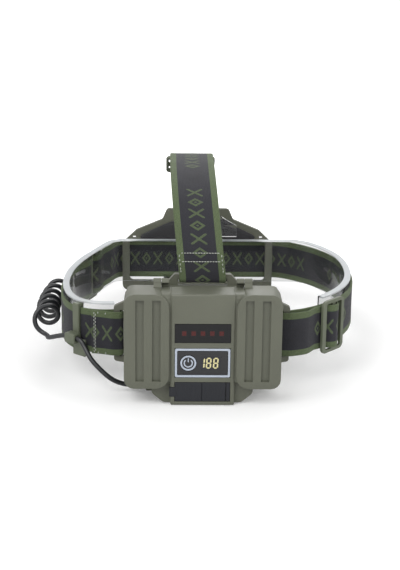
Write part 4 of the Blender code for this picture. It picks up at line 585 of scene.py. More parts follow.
# ---------------------------------------------------------------- straps
def webbing_material(name, s, phase):
    """Woven elastic webbing: charcoal ground, green borders and a woven motif.

    Dull threads under a little sheen.  The weft ribs stand about a millimetre apart,
    wider than real thread so that they still show; the colour is darker in the furrows
    between them and lighter on their crests, as painted shade and highlight; phase slides
    the motif along.
    """
    mat, tree, shader = principled(name, s.ground, 0.85, Sheen_Weight=0.10, Sheen_Roughness=0.5)
    uv = add(tree, "UVMap", uv_map="length_width")
    u = add(tree, "SeparateXYZ", uv)
    v = u.node.outputs[1]

    def calc(operation, *values):
        return add(tree, "Math", *values, operation=operation)

    # weave: ribs along, every second warp column half a rib later
    column = calc("MODULO", calc("FLOOR", calc("DIVIDE", calc("ADD", v, 1.0), s.thread * 0.9)), 2.0)
    rib = calc("SINE", calc("MULTIPLY", calc("ADD", calc("DIVIDE", u, s.thread), calc("MULTIPLY", column, 0.5)),
                            math.tau))
    furrow = calc("ABSOLUTE", calc("SINE", calc("MULTIPLY", calc("DIVIDE", v, s.thread * 0.9), math.pi)))
    height = calc("MULTIPLY", calc("ADD", calc("MULTIPLY", rib, 0.5), 0.5), furrow)
    # motif: diamonds and crosses by turns, eight to a group
    period = s.pitch * 11
    place = calc("MODULO", calc("ADD", u, 10 * period + phase), period)
    inside = calc("LESS_THAN", place, s.pitch * 8)
    half = s.motif / 2
    a = calc("DIVIDE", calc("ABSOLUTE", calc("SUBTRACT", calc("MODULO", place, s.pitch), s.pitch / 2)),
             s.pitch * 0.40)
    b = calc("DIVIDE", calc("ABSOLUTE", v), half)
    slope = s.stroke / 2 * math.hypot(1 / (s.pitch * 0.40), 1 / half)
    diamond = calc("LESS_THAN", calc("ABSOLUTE", calc("SUBTRACT", calc("ADD", a, b), 1.0 - slope)), slope)
    core = calc("LESS_THAN", calc("ADD", a, b), 0.20)
    cross = calc("LESS_THAN", calc("ABSOLUTE", calc("SUBTRACT", a, b)), slope)
    fits = calc("LESS_THAN", calc("MAXIMUM", a, b), 1.0)
    odd = calc("MODULO", calc("FLOOR", calc("DIVIDE", place, s.pitch)), 2.0)
    shape = add(tree, "Mix", odd, None, calc("MAXIMUM", diamond, core), cross, data_type="FLOAT")
    motif = calc("MULTIPLY", calc("MULTIPLY", shape, fits), inside)
    # a small cluster of darker dots in each space between two groups
    grid = calc("MULTIPLY", calc("SINE", calc("MULTIPLY", u, math.tau / 0.0044)),
                calc("SINE", calc("MULTIPLY", v, math.tau / 0.0044)))
    near = calc("LESS_THAN", calc("ABSOLUTE", calc("SUBTRACT", place, s.pitch * 9.5)), s.pitch * 0.9)
    dots = calc("MULTIPLY", calc("MULTIPLY", calc("GREATER_THAN", calc("ABSOLUTE", grid), 0.55), near),
                calc("LESS_THAN", b, 1.0))
    edge = calc("GREATER_THAN", calc("ABSOLUTE", v), s.width / 2 - s.border)
    green = calc("MINIMUM", calc("ADD", calc("MULTIPLY", motif, 0.82), edge), 1.0)

    fibre = add(tree, "TexNoise", uv, sockets={"Scale": 1100.0, "Detail": 2.0})
    cloudy = add(tree, "TexNoise", uv, sockets={"Scale": 60.0, "Detail": 3.0})
    # painted light and shade: the fibre noise gives random tone, and the rib height darkens the weave's furrows and
    # lightens its crests
    shade = calc("MULTIPLY", add(tree, "MapRange", fibre, 0.3, 0.7, 0.80, 1.20),
                 add(tree, "MapRange", height, 0.0, 1.0, 0.72, 1.16))
    shade = calc("MULTIPLY", shade, add(tree, "MapRange", cloudy, 0.3, 0.7, 0.93, 1.07))
    dark = (0.012, 0.012, 0.014, 1)
    ground = add(tree, "Mix", sockets={0: calc("MULTIPLY", dots, 0.5), 6: rgba(s.ground), 7: dark}, out=2,
                 data_type="RGBA")
    tint = add(tree, "Mix", sockets={0: green, 6: ground, 7: rgba(s.green)}, out=2, data_type="RGBA")
    tint = add(tree, "Mix", sockets={0: 1.0, 6: tint, 7: shade}, out=2, data_type="RGBA", blend_type="MULTIPLY")
    tree.links.new(tint, shader.inputs["Base Color"])
    raised = calc("ADD", height, calc("MULTIPLY", motif, 0.6))
    bump = add(tree, "Bump", sockets={"Height": raised, "Distance": 0.00016, "Strength": 1.0})
    tree.links.new(bump, shader.inputs["Normal"])
    return mat


def strap_section(width, thick, count=13):
    """Flat band with half-round selvedges, given as (across, out) going once round."""
    half, r = width / 2 - thick / 2, thick / 2
    flat = np.linspace(half, -half, count)
    turn = np.linspace(math.pi / 2, 3 * math.pi / 2, 6)[1:-1]
    bow = 0.00010 * (1 - (flat / half) ** 2)
    top = np.stack([flat, r - bow], axis=1)
    low = np.stack([flat[::-1], -r + bow], axis=1)
    left = np.stack([-half + r * np.cos(turn), r * np.sin(turn)], axis=1)
    right = np.stack([half - r * np.cos(turn), -r * np.sin(turn)], axis=1)
    return np.vstack([top, left, low, right])


def strap(name, node, points, up, phase):
    """Webbing along a line: its section carried along, with a faint wave in its thickness."""
    s = settings("straps")
    path = smooth(points, 0.0009)
    if up == "Z":
        path = np.column_stack([path, np.zeros(len(path))])
        side = (0.0, 0.0, 1.0)
    else:
        path = np.column_stack([np.zeros(len(path)), path])
        side = (1.0, 0.0, 0.0)
    far = np.r_[0, np.cumsum(np.linalg.norm(np.diff(path, axis=0), axis=1))]
    section = strap_section(s.width, s.thickness)
    sections = np.repeat(section[None], len(path), axis=0)
    wave = 0.00006 * np.sin(far * 410.0)[:, None] * np.cos(section[None, :, 0] * 260.0)
    sections[..., 1] += wave
    grid = sweep(path, sections, side)
    if up == "X":
        grid[..., 0] += sideways(grid[..., 1], grid[..., 2])
    uv = np.stack([np.repeat(far[:, None], len(section), axis=1), np.repeat(section[None, :, 0], len(path), axis=0)],
                  axis=-1)
    obj = surface(name, grid, closed_v=True, caps=True, uv=uv)
    obj.data.materials.append(webbing_material(name + "_elastic", s, phase))
    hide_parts(node)
    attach(obj, "head_frame")
    return path, far, side


def stitches(name, path, far, side, at, rows, out_sign, lift, along=False, seed=1):
    """Sewing stitches on a strap: small ellipsoids, each a row's place across and its size.

    at is the distance along the strap; rows lists (shift along, across) of each stitch.
    """
    tangent = np.gradient(path, axis=0)
    tangent /= np.linalg.norm(tangent, axis=1)[:, None]
    side = np.asarray(side, float)
    rng = np.random.default_rng(seed)
    t, p = np.meshgrid(np.linspace(0, math.pi, 6), np.linspace(0, math.tau, 8, endpoint=False), indexing="ij")
    ball = np.stack([np.sin(t) * np.cos(p), np.sin(t) * np.sin(p), np.cos(t)], axis=-1).reshape(-1, 3)
    index = np.arange(48).reshape(6, 8)
    quads = np.stack([index[:-1], np.roll(index[:-1], -1, 1), np.roll(index[1:], -1, 1), index[1:]], -1).reshape(-1, 4)
    parts = []
    for shift, across in rows:
        i = int(np.interp(at + shift, far, np.arange(len(far))))
        out = np.cross(side, tangent[i]) * out_sign
        place = path[i] + side * across + out * lift
        if abs(side[0]) > 0.5:
            place = place + np.array((float(sideways(place[1], place[2])), 0.0, 0.0))
        long_axis, wide_axis = (tangent[i], side) if along else (side, tangent[i])
        long_axis = long_axis + wide_axis * rng.uniform(-0.15, 0.15)
        size = (0.00078 * rng.uniform(0.9, 1.1), 0.00026, 0.00020)
        points = place + ball[:, :1] * long_axis * size[0] + ball[:, 1:2] * wide_axis * size[1] + ball[:, 2:] * out * size[2]
        parts.append((points, quads))
    obj = merged(name, parts)
    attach(obj, "head_frame")
    return obj


class MESH_OT_caplamp_straps(bpy.types.Operator):
    """Webbing of both side straps and of the top strap, with their sewing."""

    bl_idname = "mesh.caplamp_straps"
    bl_label = "Straps"

    def execute(self, context):
        s = settings("straps")
        thread = grained("bonded_nylon_thread", s.stitch, 0.6, 0.0004, 0.00003)
        made = strap("left_webbing", "left_strap", left_line(), "Z", 0.020)
        path, far, _ = straight(made, "Z")
        rows = [(0.0004 * (i % 2), -0.0132 + 0.0012 * i) for i in range(23)]
        rows += [(shift, 0.0137 * side) for shift in (0.0028, 0.0075) for side in (-1, 1)]
        tail = stitches("left_tail_stitches", path, far, (0, 0, 1), 0.0025, rows, -1, 0.0010, seed=3)
        strap("right_webbing", "right_strap", right_line(), "Z", 0.046)
        made = strap("top_webbing", "top_strap", top_line(), "X", -0.025)
        path, far, _ = straight(made, "X")
        rows = [(shift, -0.0116 + 0.00178 * i) for shift in (0.0, 0.0062) for i in range(14)]
        seam = stitches("top_seam_stitches", path, far, (1, 0, 0), seam_place(path, far, 0.0510), rows, 1, 0.0010,
                        seed=5)
        edge = [(0.0026 * i, side * 0.0136) for i in range(5) for side in (-1, 1)]
        low = stitches("top_edge_stitches", path, far, (1, 0, 0), seam_place(path, far, 0.0440), edge, 1, 0.0010,
                       along=True, seed=7)
        dress(thread, tail.name, seam.name, low.name)
        return {"FINISHED"}


def straight(made, up):
    """Path, distances and side vector of a strap that has been made."""
    return made[0], made[1], (0.0, 0.0, 1.0) if up == "Z" else (1.0, 0.0, 0.0)


def seam_place(path, far, height):
    """Distance along the top strap's path where its rising run behind reaches a height."""
    rising = np.nonzero((path[:-1, 2] < height) & (path[1:, 2] >= height) & (path[:-1, 1] < FRAME_Y - 0.001))[0]
    return float(far[rising[-1]])


# ---------------------------------------------------------------- cable
def coil_run(length, radius, pitch, ease, finish):
    """Distance along the axis and turn angle of a cable winding into and out of a coil.

    The cable leans from the axis by b(s) = B sin(pi s / 2 ease), rising to B and falling
    again at the far end; its angle grows as sin(b) / radius and its place as cos(b).
    B is set by the pitch as atan(2 pi radius / pitch); the angles are then scaled so that
    the last angle is finish beyond a whole number of turns.
    """
    step = 0.0008

    def wind(lean):
        t = np.arange(0, ease, step) / ease
        rise = lean * np.sin(t * math.pi / 2)
        straight_part = length - 2 * np.sum(np.cos(rise)) * step
        middle = np.full(max(1, int(round(straight_part / math.cos(lean) / step))), lean)
        lean_all = np.concatenate([rise, middle, rise[::-1]])
        return np.cumsum(np.cos(lean_all)) * step, np.cumsum(np.sin(lean_all)) * step / radius

    lean = math.atan(math.tau * radius / pitch)
    place, angle = wind(lean)
    target = math.tau * round((angle[-1] - finish) / math.tau) + finish
    angle *= target / angle[-1]
    return place * length / place[-1], angle


def cable_route(s):
    """The whole cable: case gland, buckle clip, coil beside the left strap, lamp gland."""
    radius = (s.coil - s.diameter) / 2
    beside = STRAP_THICK / 2 + 0.0006 + s.coil / 2
    start = np.array((-0.0416, -0.0983, -0.0328))
    place, tangent, normal = RING.frame(BUCKLE_AT)
    clip, clip_z = place + normal * 0.0064, -0.0050
    before = clip - tangent * 0.0110
    first, last = COIL_FROM - 0.0080, COIL_TO + 0.0010
    run, angle = coil_run(last - first, radius, s.pitch, 0.0090, 2.0 * math.pi)
    angle = angle - math.pi / 2
    frames = [RING.frame(first + d) for d in run]
    # the first turn hangs loose: wider by 2.6 mm and 1.3 mm lower, dying away over a centimetre
    loose = 0.0026 * np.exp(-(run / 0.0105) ** 2)
    centre = np.array([f[0] + f[2] * (beside + extra) for f, extra in zip(frames, loose)])
    out = np.array([f[2] for f in frames])
    wide = radius + loose
    coil = np.column_stack([centre + out * (wide * np.cos(angle))[:, None], wide * np.sin(angle) - loose / 2])
    heading = coil[1] - coil[0]
    heading /= np.linalg.norm(heading)
    lead = [start, start + (-0.0090, 0.0003, 0.0002), (-0.0600, -0.1018, -0.0268), (-0.0712, -0.0980, -0.0168),
            (*before, clip_z - 0.0036), (*(clip - tangent * 0.0065), clip_z),
            (*(clip + tangent * 0.0065), clip_z), coil[0] - heading * 0.0030]
    away = coil[-1] - coil[-2]
    away /= np.linalg.norm(away)
    tail = [coil[-1] + away * 0.0040, coil[-1] + away * 0.0110, (-0.0945, 0.0440, -0.0062), (-0.0840, 0.0740, -0.0092),
            (-0.0690, 0.0970, -0.0100), (-0.0510, 0.1100, -0.0060), (-0.0370, PIVOT_Y, -0.0010),
            (-0.0273, PIVOT_Y, 0.0)]
    lead = smooth([*lead, coil[0]], 0.0015)[:-1]
    tail = smooth([coil[-1], *tail], 0.0015)[1:]
    return spread(np.vstack([lead, coil, tail]), 0.0016)


class MESH_OT_caplamp_cable(bpy.types.Operator):
    """Cable from the case's gland, through the buckle and its coil, to the lamp's gland."""

    bl_idname = "mesh.caplamp_cable"
    bl_label = "Cable"

    def execute(self, context):
        s = settings("cable")
        route = cable_route(s)
        a = np.linspace(0, math.tau, 14, endpoint=False)
        round_section = np.stack([np.cos(a), np.sin(a)], axis=1) * s.diameter / 2
        cable = surface("coiled_cable", sweep(route, round_section), closed_v=True, caps=True)
        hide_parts("case_cable", "curly_cable", "lamp_cable")
        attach(cable, "head_frame")
        # polyurethane jacket: satin, with a faint grain
        jacket = grained("polyurethane_jacket", s.jacket, 0.36, 0.0012, 0.00002, drift=0.12, Coat_Weight=0.15,
                         Coat_Roughness=0.3)
        dress(jacket, cable.name)
        return {"FINISHED"}


# ---------------------------------------------------------------- case
def facing(node):
    """Place in Y of the side of a node that faces backwards."""
    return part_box(node)[0][1]


def raised(outline, y, depth, inset=0.0):
    """Points and faces of a thin plate on an XZ outline, its outer edge drawn in a little."""
    outline = np.asarray(outline, float)
    middle = outline.mean(axis=0)
    towards = middle - outline
    towards /= np.linalg.norm(towards, axis=1)[:, None] + 1e-12
    rows = [(0.0, 0.0), (0.0, depth - inset), (inset, depth)]
    points = np.vstack([np.column_stack([outline[:, 0] + towards[:, 0] * e, np.full(len(outline), y - d),
                                         outline[:, 1] + towards[:, 1] * e]) for e, d in rows])
    n = len(outline)
    faces = [[r * n + k, r * n + (k + 1) % n, (r + 1) * n + (k + 1) % n, (r + 1) * n + k]
             for r in range(2) for k in range(n)]
    faces += [list(range(2 * n, 3 * n)), list(range(n))[::-1]]
    return points, faces


def arc_band(centre, outer, width, a0, a1, count=48):
    """Outline of a band along a circle from angle a0 to a1, in degrees from +Z."""
    a = np.radians(np.linspace(a0, a1, count))
    far = np.stack([centre[0] + outer * np.sin(a), centre[1] + outer * np.cos(a)], axis=1)
    near = np.stack([centre[0] + (outer - width) * np.sin(a), centre[1] + (outer - width) * np.cos(a)], axis=1)
    return far, near


def band_part(centre, outer, width, a0, a1, y, depth):
    """A raised band along part or all of a circle."""
    far, near = arc_band(centre, outer, width, a0, a1)
    n = len(far)
    ring = np.stack([far, (far * 3 + near) / 4, (far + 3 * near) / 4, near], axis=1)
    rise = np.broadcast_to(y - np.array([0, depth, depth, 0])[None, :, None], (n, 4, 1))
    grid = np.dstack([ring[..., :1], rise, ring[..., 1:]])
    index = np.arange(n * 4).reshape(n, 4)
    quads = np.stack([index[:-1, :-1], index[:-1, 1:], index[1:, 1:], index[1:, :-1]], -1).reshape(-1, 4).tolist()
    corners = [index[:-1, 0], index[1:, 0], index[1:, 3], index[:-1, 3]]
    quads += np.stack(corners, axis=1).tolist()
    if abs(a1 - a0) < 359.9:
        quads += [index[0].tolist(), index[-1][::-1].tolist()]
    return grid.reshape(-1, 3), quads


def segment_bars(left, low, width, height, lean, stroke, lit):
    """Outlines of seven-segment bars, six-sided, standing on (left, low); lit picks among them."""
    half, gap = stroke / 2, stroke * 0.12
    mid = height / 2

    def flat(x0, x1, z):
        return [(x0 + half, z + half), (x0, z), (x0 + half, z - half),
                (x1 - half, z - half), (x1, z), (x1 - half, z + half)]

    def tall(x, z0, z1):
        return [(x - half, z0 + half), (x, z0), (x + half, z0 + half),
                (x + half, z1 - half), (x, z1), (x - half, z1 - half)]

    near, far, top = half + gap, width - half - gap, height - half - gap
    bars = {"a": flat(near, far, height - half), "g": flat(near, far, mid), "d": flat(near, far, half),
            "f": tall(half, mid + gap, top), "b": tall(width - half, mid + gap, top),
            "e": tall(half, near, mid - gap), "c": tall(width - half, near, mid - gap)}
    shapes = []
    for key in lit:
        bar = np.array(bars[key])
        bar[:, 0] += left + bar[:, 1] * lean
        bar[:, 1] += low
        shapes.append(bar)
    return shapes


class MESH_OT_caplamp_case(bpy.types.Operator):
    """Moulded case, its base, gasket, hinge and port flap."""

    bl_idname = "mesh.caplamp_case"
    bl_label = "Battery case"

    def execute(self, context):
        s = settings("case")
        cover = remoulded("cover_moulding", "rear_cover", 0.0005)
        base = remoulded("base_moulding", "base_housing", 0.0004)
        # fine spark texture on grey-green ABS
        abs_finish = grained("spark_textured_abs", s.abs, 0.50, 0.0007, 0.000035, drift=0.045)
        dress(abs_finish, cover.name, base.name)
        flap = remoulded("flap_moulding", "port_flap", 0.00035)
        anchor = remoulded("anchor_moulding", "flap_anchor", 0.00025)
        rubber = grained("moulded_silicone", (0.010, 0.0115, 0.016), 0.55, 0.0009, 0.00003, drift=0.10)
        tree = rubber.node_tree
        # fine upright drag lines, as a flexible cover shows when it is pressed home
        place = add(tree, "SeparateXYZ", add(tree, "TexCoord", out="Object"))
        wave = add(tree, "Math", add(tree, "Math", place, 2200.0, operation="MULTIPLY"), operation="SINE")
        patch = add(tree, "TexNoise", add(tree, "TexCoord", out="Object"), sockets={"Scale": 160.0, "Detail": 2.0})
        tone = add(tree, "Math", wave, patch, operation="MULTIPLY")
        bump = add(tree, "Bump", sockets={"Height": tone, "Distance": 0.00006, "Strength": 0.8})
        tree.links.new(bump, tree.nodes["Principled BSDF"].inputs["Normal"])
        dress(rubber, flap.name, anchor.name, "cable_gland", "case_gasket")
        pins = principled_metal("plated_pin_steel", (0.55, 0.55, 0.56), 0.28)
        dress(pins, "hinge_pin_left", "hinge_pin_right")
        return {"FINISHED"}


def principled_metal(name, tint, roughness, along=(1, 1, 1), scale=900.0):
    """Bare or plated metal: a little drift in gloss and fine scratches along one way."""
    mat, tree, shader = principled(name, tint, roughness, Metallic=1.0)
    where = add(tree, "Mapping", add(tree, "TexCoord", out="Object"), sockets={"Scale": along})
    scratch = add(tree, "TexNoise", where, sockets={"Scale": scale, "Detail": 3.0})
    slow = add(tree, "TexNoise", add(tree, "TexCoord", out="Object"), sockets={"Scale": 70.0, "Detail": 3.0})
    rough = add(tree, "MapRange", slow, 0.3, 0.7, roughness - 0.08, roughness + 0.10)
    tree.links.new(rough, shader.inputs["Roughness"])
    shade = add(tree, "MapRange", slow, 0.3, 0.7, 0.93, 1.07)
    tinted = add(tree, "Mix", sockets={0: 1.0, 6: rgba(tint), 7: shade}, out=2, data_type="RGBA",
                 blend_type="MULTIPLY")
    tree.links.new(tinted, shader.inputs["Base Color"])
    bump = add(tree, "Bump", sockets={"Height": scratch, "Distance": 0.000012, "Strength": 0.7})
    tree.links.new(bump, shader.inputs["Normal"])
    return mat


def lamp_row():
    """Middle, spacing and height of the five small lamps behind the window."""
    boxes = [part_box("rear_led_%d" % k) for k in range(1, 6)]
    middles = [((low[0] + high[0]) / 2, (low[2] + high[2]) / 2) for low, high in boxes]
    xs = sorted(m[0] for m in middles)
    return sum(xs) / 5, (xs[-1] - xs[0]) / 4, middles[0][1]


class MESH_OT_caplamp_display(bpy.types.Operator):
    """Window with its red lamps, display with its digits, and the power button."""

    bl_idname = "mesh.caplamp_display"
    bl_label = "Window and display"

    def execute(self, context):
        s = settings("case")
        rim = remoulded("display_rim", "display_frame", 0.00025)
        # silver-grey painted rim
        dress(grained("silver_grey_rim", s.rim, 0.38, 0.0005, 0.00001, drift=0.03, Coat_Weight=0.3), rim.name)
        # black acrylic, with a dim red square over each lamp behind it
        black, red = (0.004, 0.004, 0.005, 1), (0.075, 0.008, 0.007, 1)
        smoked, tree, shader = principled("smoked_window_acrylic", black, 0.06, IOR=1.45)
        where = add(tree, "TexCoord", out="Object")
        x = add(tree, "SeparateXYZ", where)
        mid, pitch, z0 = lamp_row()

        def near(value, centre, half):
            gap = add(tree, "Math", add(tree, "Math", value, centre, operation="SUBTRACT"), operation="ABSOLUTE")
            return add(tree, "MapRange", gap, half - 0.0004, half + 0.0002, 1.0, 0.0)

        # distance into each lamp's share of the row, counted from well left of it
        along = add(tree, "Math", x, 5.5 * pitch - mid, operation="ADD")
        cell = add(tree, "Math", along, pitch, operation="MODULO")
        mask = add(tree, "Math", near(cell, pitch / 2, 0.0015), near(x.node.outputs[2], z0, 0.0016),
                   operation="MULTIPLY")
        mask = add(tree, "Math", mask, near(x, mid, 2.5 * pitch), operation="MULTIPLY")
        glow = add(tree, "Mix", sockets={0: mask, 6: black, 7: red}, out=2, data_type="RGBA")
        tree.links.new(glow, shader.inputs["Base Color"])
        haze = add(tree, "TexNoise", add(tree, "TexCoord", out="Object"), sockets={"Scale": 900.0, "Detail": 3.0})
        tree.links.new(add(tree, "MapRange", haze, 0.3, 0.7, 0.04, 0.11), shader.inputs["Roughness"])
        dress(smoked, "led_window")
        glass = grained("black_display_glass", (0.006, 0.006, 0.008), 0.10, 0.0008, 0.000002, drift=0.1,
                        rough_drift=0.04, Coat_Weight=0.6, Coat_Roughness=0.05)
        dress(glass, "display_lens")
        red = grained("red_lamp_resin", (0.20, 0.020, 0.014), 0.35, 0.0009, 0.00004, drift=0.2)
        shader = red.node_tree.nodes["Principled BSDF"]
        shader.inputs["Emission Color"].default_value = (0.30, 0.035, 0.02, 1)
        shader.inputs["Emission Strength"].default_value = 0.35
        dress(red, *["rear_led_%d" % k for k in range(1, 6)])

        face = facing("display_lens")
        low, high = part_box("digit_module")
        middle_x, middle_z = (low[0] + high[0]) / 2, (low[2] + high[2]) / 2
        height = s.segment
        width, stroke, lean = height * 0.46, height * 0.125, 0.07
        pitch, thin = width * 1.32, width * 0.42
        left = middle_x - (thin + 2 * pitch) / 2 - lean * height / 2
        base = middle_z - height / 2
        lit, dim = [], []
        for k, keys in enumerate(("bc", "abcdefg", "abcdefg")):
            start = left + (0 if k == 0 else thin + (k - 1) * pitch + width * 0.22) - (width - thin if k == 0 else 0)
            lit += segment_bars(start, base, width, height, lean, stroke, keys)
        dim += [np.array([(left - 0.0012, base - 0.0009), (left + thin + 2 * pitch + 0.0014, base - 0.0009),
                          (left + thin + 2 * pitch + 0.0014 + lean * height, base + height + 0.0009),
                          (left - 0.0012 + lean * height, base + height + 0.0009)])]
        digits = merged("display_digits", [raised(bar, face, 0.00006, 0.00002) for bar in lit], smooth=False)
        field = merged("display_field", [raised(bar, face, 0.00002, 0.00001) for bar in dim], smooth=False)
        for piece in (digits, field):
            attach(piece, "cover")
        pale = grained("pale_yellow_segment", s.digits, 0.4, 0.0006, 0.000004, drift=0.04)
        lamp = pale.node_tree.nodes["Principled BSDF"]
        lamp.inputs["Emission Color"].default_value = rgba(s.digits)
        lamp.inputs["Emission Strength"].default_value = 0.10
        dress(pale, digits.name)
        dress(grained("grey_display_mask", (0.020, 0.021, 0.026), 0.22, 0.0007, 0.000003, drift=0.15), field.name)

        button = remoulded("button_cap", "power_button", 0.0003)
        dress(glass, button.name)
        low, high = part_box("power_button")
        centre = ((low[0] + high[0]) / 2, (low[2] + high[2]) / 2)
        r = s.ring / 2
        parts = [band_part(centre, r * 0.97, r * 0.21, 0, 360, low[1], 0.00008),
                 band_part(centre, r * 0.57, r * 0.15, 38, 322, low[1], 0.00008),
                 raised([(centre[0] - r * 0.065, centre[1] + r * 0.14), (centre[0] + r * 0.065, centre[1] + r * 0.14),
                         (centre[0] + r * 0.065, centre[1] + r * 0.62), (centre[0] - r * 0.065, centre[1] + r * 0.62)],
                        low[1], 0.00008, 0.00002)]
        marks = merged("button_marks", parts, smooth=False)
        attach(marks, "button")
        dress(grained("printed_grey_ink", s.rim, 0.45, 0.0004, 0.000006, drift=0.03), marks.name)
        return {"FINISHED"}


# ---------------------------------------------------------------- fittings
def cushion(name, outline, thick, face_y, seat_y, crown=0.7):
    """A foam pad on an XZ outline: rows of the outline drawn in towards its middle.

    A row drawn in by a share e stands out by thick (1 - (1 - e)^4)^crown, so the pad is
    full in the middle and rolls over at its edge.
    """
    outline = np.asarray(outline, float)
    middle = (outline.max(axis=0) + outline.min(axis=0)) / 2
    sign = math.copysign(1, face_y - seat_y)
    rows = [np.column_stack([outline[:, 0], np.full(len(outline), seat_y), outline[:, 1]])]
    for e in (0.0, 0.01, 0.03, 0.07, 0.13, 0.22, 0.36, 0.55, 0.78):
        ring = outline + (middle - outline) * e * np.array((0.55, 1.0))
        out = seat_y + sign * (thick * 0.35 + thick * 0.65 * (1 - (1 - e) ** 6) ** crown)
        rows.append(np.column_stack([ring[:, 0], np.full(len(ring), out), ring[:, 1]]))
    return surface(name, np.array(rows), closed_v=True, caps=True)


class MESH_OT_caplamp_fittings(bpy.types.Operator):
    """Sliders, cable buckle, front bracket, forehead pad and the clear formers."""

    bl_idname = "mesh.caplamp_fittings"
    bl_label = "Fittings"

    def execute(self, context):
        s = settings("case")
        nylon = grained("glass_filled_nylon", s.nylon, 0.46, 0.0010, 0.00003, drift=0.05)
        for node in ("slider_right", "slider_left", "slider_top", "cable_buckle"):
            dress(nylon, remoulded(node + "_moulding", node, 0.0004).name)
        bracket = remoulded("bracket_moulding", "front_bracket", 0.0004)
        dress(grained("textured_bracket_abs", s.abs, 0.50, 0.0007, 0.000035, drift=0.045), bracket.name)
        low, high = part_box("forehead_pad")
        corners = np.array([(0.0440, low[2]), (0.0440, low[2] + 0.0029), (0.0262, high[2] - 0.0030),
                            (0.0190, high[2])])
        ring = np.vstack([corners, corners[::-1] * (-1, 1)])
        ring = spread(np.vstack([ring, ring[:1]]), 0.0015)[:-1]
        for _ in range(2):
            ring = (np.roll(ring, 1, axis=0) + ring * 2 + np.roll(ring, -1, axis=0)) / 4
        pad = cushion("forehead_cushion", ring, high[1] - low[1], low[1], high[1])
        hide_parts("forehead_pad")
        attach(pad, "head_frame")
        foam, tree, shader = principled("closed_cell_foam", (0.022, 0.022, 0.024), 0.85, Sheen_Weight=0.15)
        cells = add(tree, "TexVoronoi", add(tree, "TexCoord", out="Object"), sockets={"Scale": 1500.0})
        # painted shade: the colour is darkest at the bottom of each cell's pit, where the bump is lowest, and lighter
        # on the ridges between
        tone = add(tree, "MapRange", cells, 0.0, 0.6, 0.6, 1.3)
        tinted = add(tree, "Mix", sockets={0: 1.0, 6: (0.022, 0.022, 0.024, 1), 7: tone}, out=2, data_type="RGBA",
                     blend_type="MULTIPLY")
        tree.links.new(tinted, shader.inputs["Base Color"])
        bump = add(tree, "Bump", sockets={"Height": cells, "Distance": 0.00012, "Strength": 0.8})
        tree.links.new(bump, shader.inputs["Normal"])
        dress(foam, pad.name)

        clear, tree, shader = principled("clear_pvc_sheet", (0.985, 0.99, 0.99), 0.03, IOR=1.22,
                                         Transmission_Weight=1.0)
        haze = add(tree, "TexNoise", add(tree, "TexCoord", out="Object"), sockets={"Scale": 220.0, "Detail": 4.0})
        tree.links.new(add(tree, "MapRange", haze, 0.3, 0.7, 0.01, 0.05), shader.inputs["Roughness"])
        bump = add(tree, "Bump", sockets={"Height": haze, "Distance": 0.00001, "Strength": 0.5})
        tree.links.new(bump, shader.inputs["Normal"])
        edge = grained("cut_pvc_edge", (0.62, 0.65, 0.67), 0.35, 0.0006, 0.00004, drift=0.05,
                       Transmission_Weight=0.35)
        for node in ("headband_former", "top_former"):
            former = remoulded(node + "_sheet", node, 0.0, sharp=35)
            dress(clear, former.name)
            former.data.materials.append(edge)
            count = len(former.data.polygons)
            normal, centre = np.zeros(count * 3), np.zeros(count * 3)
            former.data.polygons.foreach_get("normal", normal)
            former.data.polygons.foreach_get("center", centre)
            normal, centre = normal.reshape(-1, 3), centre.reshape(-1, 3)
            if node == "headband_former":
                rim = np.abs(normal[:, 2]) > 0.7
            else:
                rim = np.abs(normal[:, 0]) > 0.6
            former.data.polygons.foreach_set("material_index", rim.astype(np.int32))
        return {"FINISHED"}


# ---------------------------------------------------------------- lamp
def ribbed_sleeve(profile, band, ribs, depth, sides):
    """The bezel's outline turned round Y; between the two places in band the radius is
    r + depth (1 - |sin(ribs a / 2)|^0.6), which cuts round-bottomed grip grooves."""
    grid = lathe(profile, sides=sides)
    y = grid[..., 1]
    angle = np.arctan2(grid[..., 2], grid[..., 0])
    inside = (y > band[0]) & (y < band[1]) & (np.hypot(grid[..., 0], grid[..., 2]) > 0.0190)
    grow = 1 + depth / 0.0204 * (np.abs(np.sin(ribs * angle / 2)) ** 0.6 - 1) * inside
    grid[..., 0] *= grow
    grid[..., 2] *= grow
    return grid


def cross_head(centre, front, radius, height, seed):
    """Pan head of a screw with a cross recess, as a polar grid.

    The face stands height (1 - (r/R)^4 0.55) above its seat; the recess is cut where
    either of two crossed slots, narrowing outwards, passes.
    """
    r = np.concatenate([np.linspace(0.02, 0.62, 16), np.linspace(0.68, 1.0, 7)]) * radius
    a = np.linspace(0, math.tau, 72, endpoint=False) + seed
    u, v = np.outer(r, np.cos(a)), np.outer(r, np.sin(a))
    out = height * (1 - 0.55 * (r / radius) ** 4)[:, None] * np.ones_like(u)
    half = radius * 0.115
    reach = np.clip((radius * 0.60 - np.abs(np.stack([u, v]))) / (radius * 0.12), 0, 1)
    slot = np.clip((half - np.abs(np.stack([v, u]))) / (radius * 0.05), 0, 1) * reach
    out -= height * 0.62 * np.max(slot, axis=0)
    skirt = np.stack([centre[0] + radius * np.cos(a), np.full(len(a), front), centre[1] + radius * np.sin(a)], axis=-1)
    face = np.stack([centre[0] + u * np.cos(-seed) - v * np.sin(-seed) * 0, front + out, centre[1] + v], axis=-1)
    return np.concatenate([face, skirt[None]], axis=0)


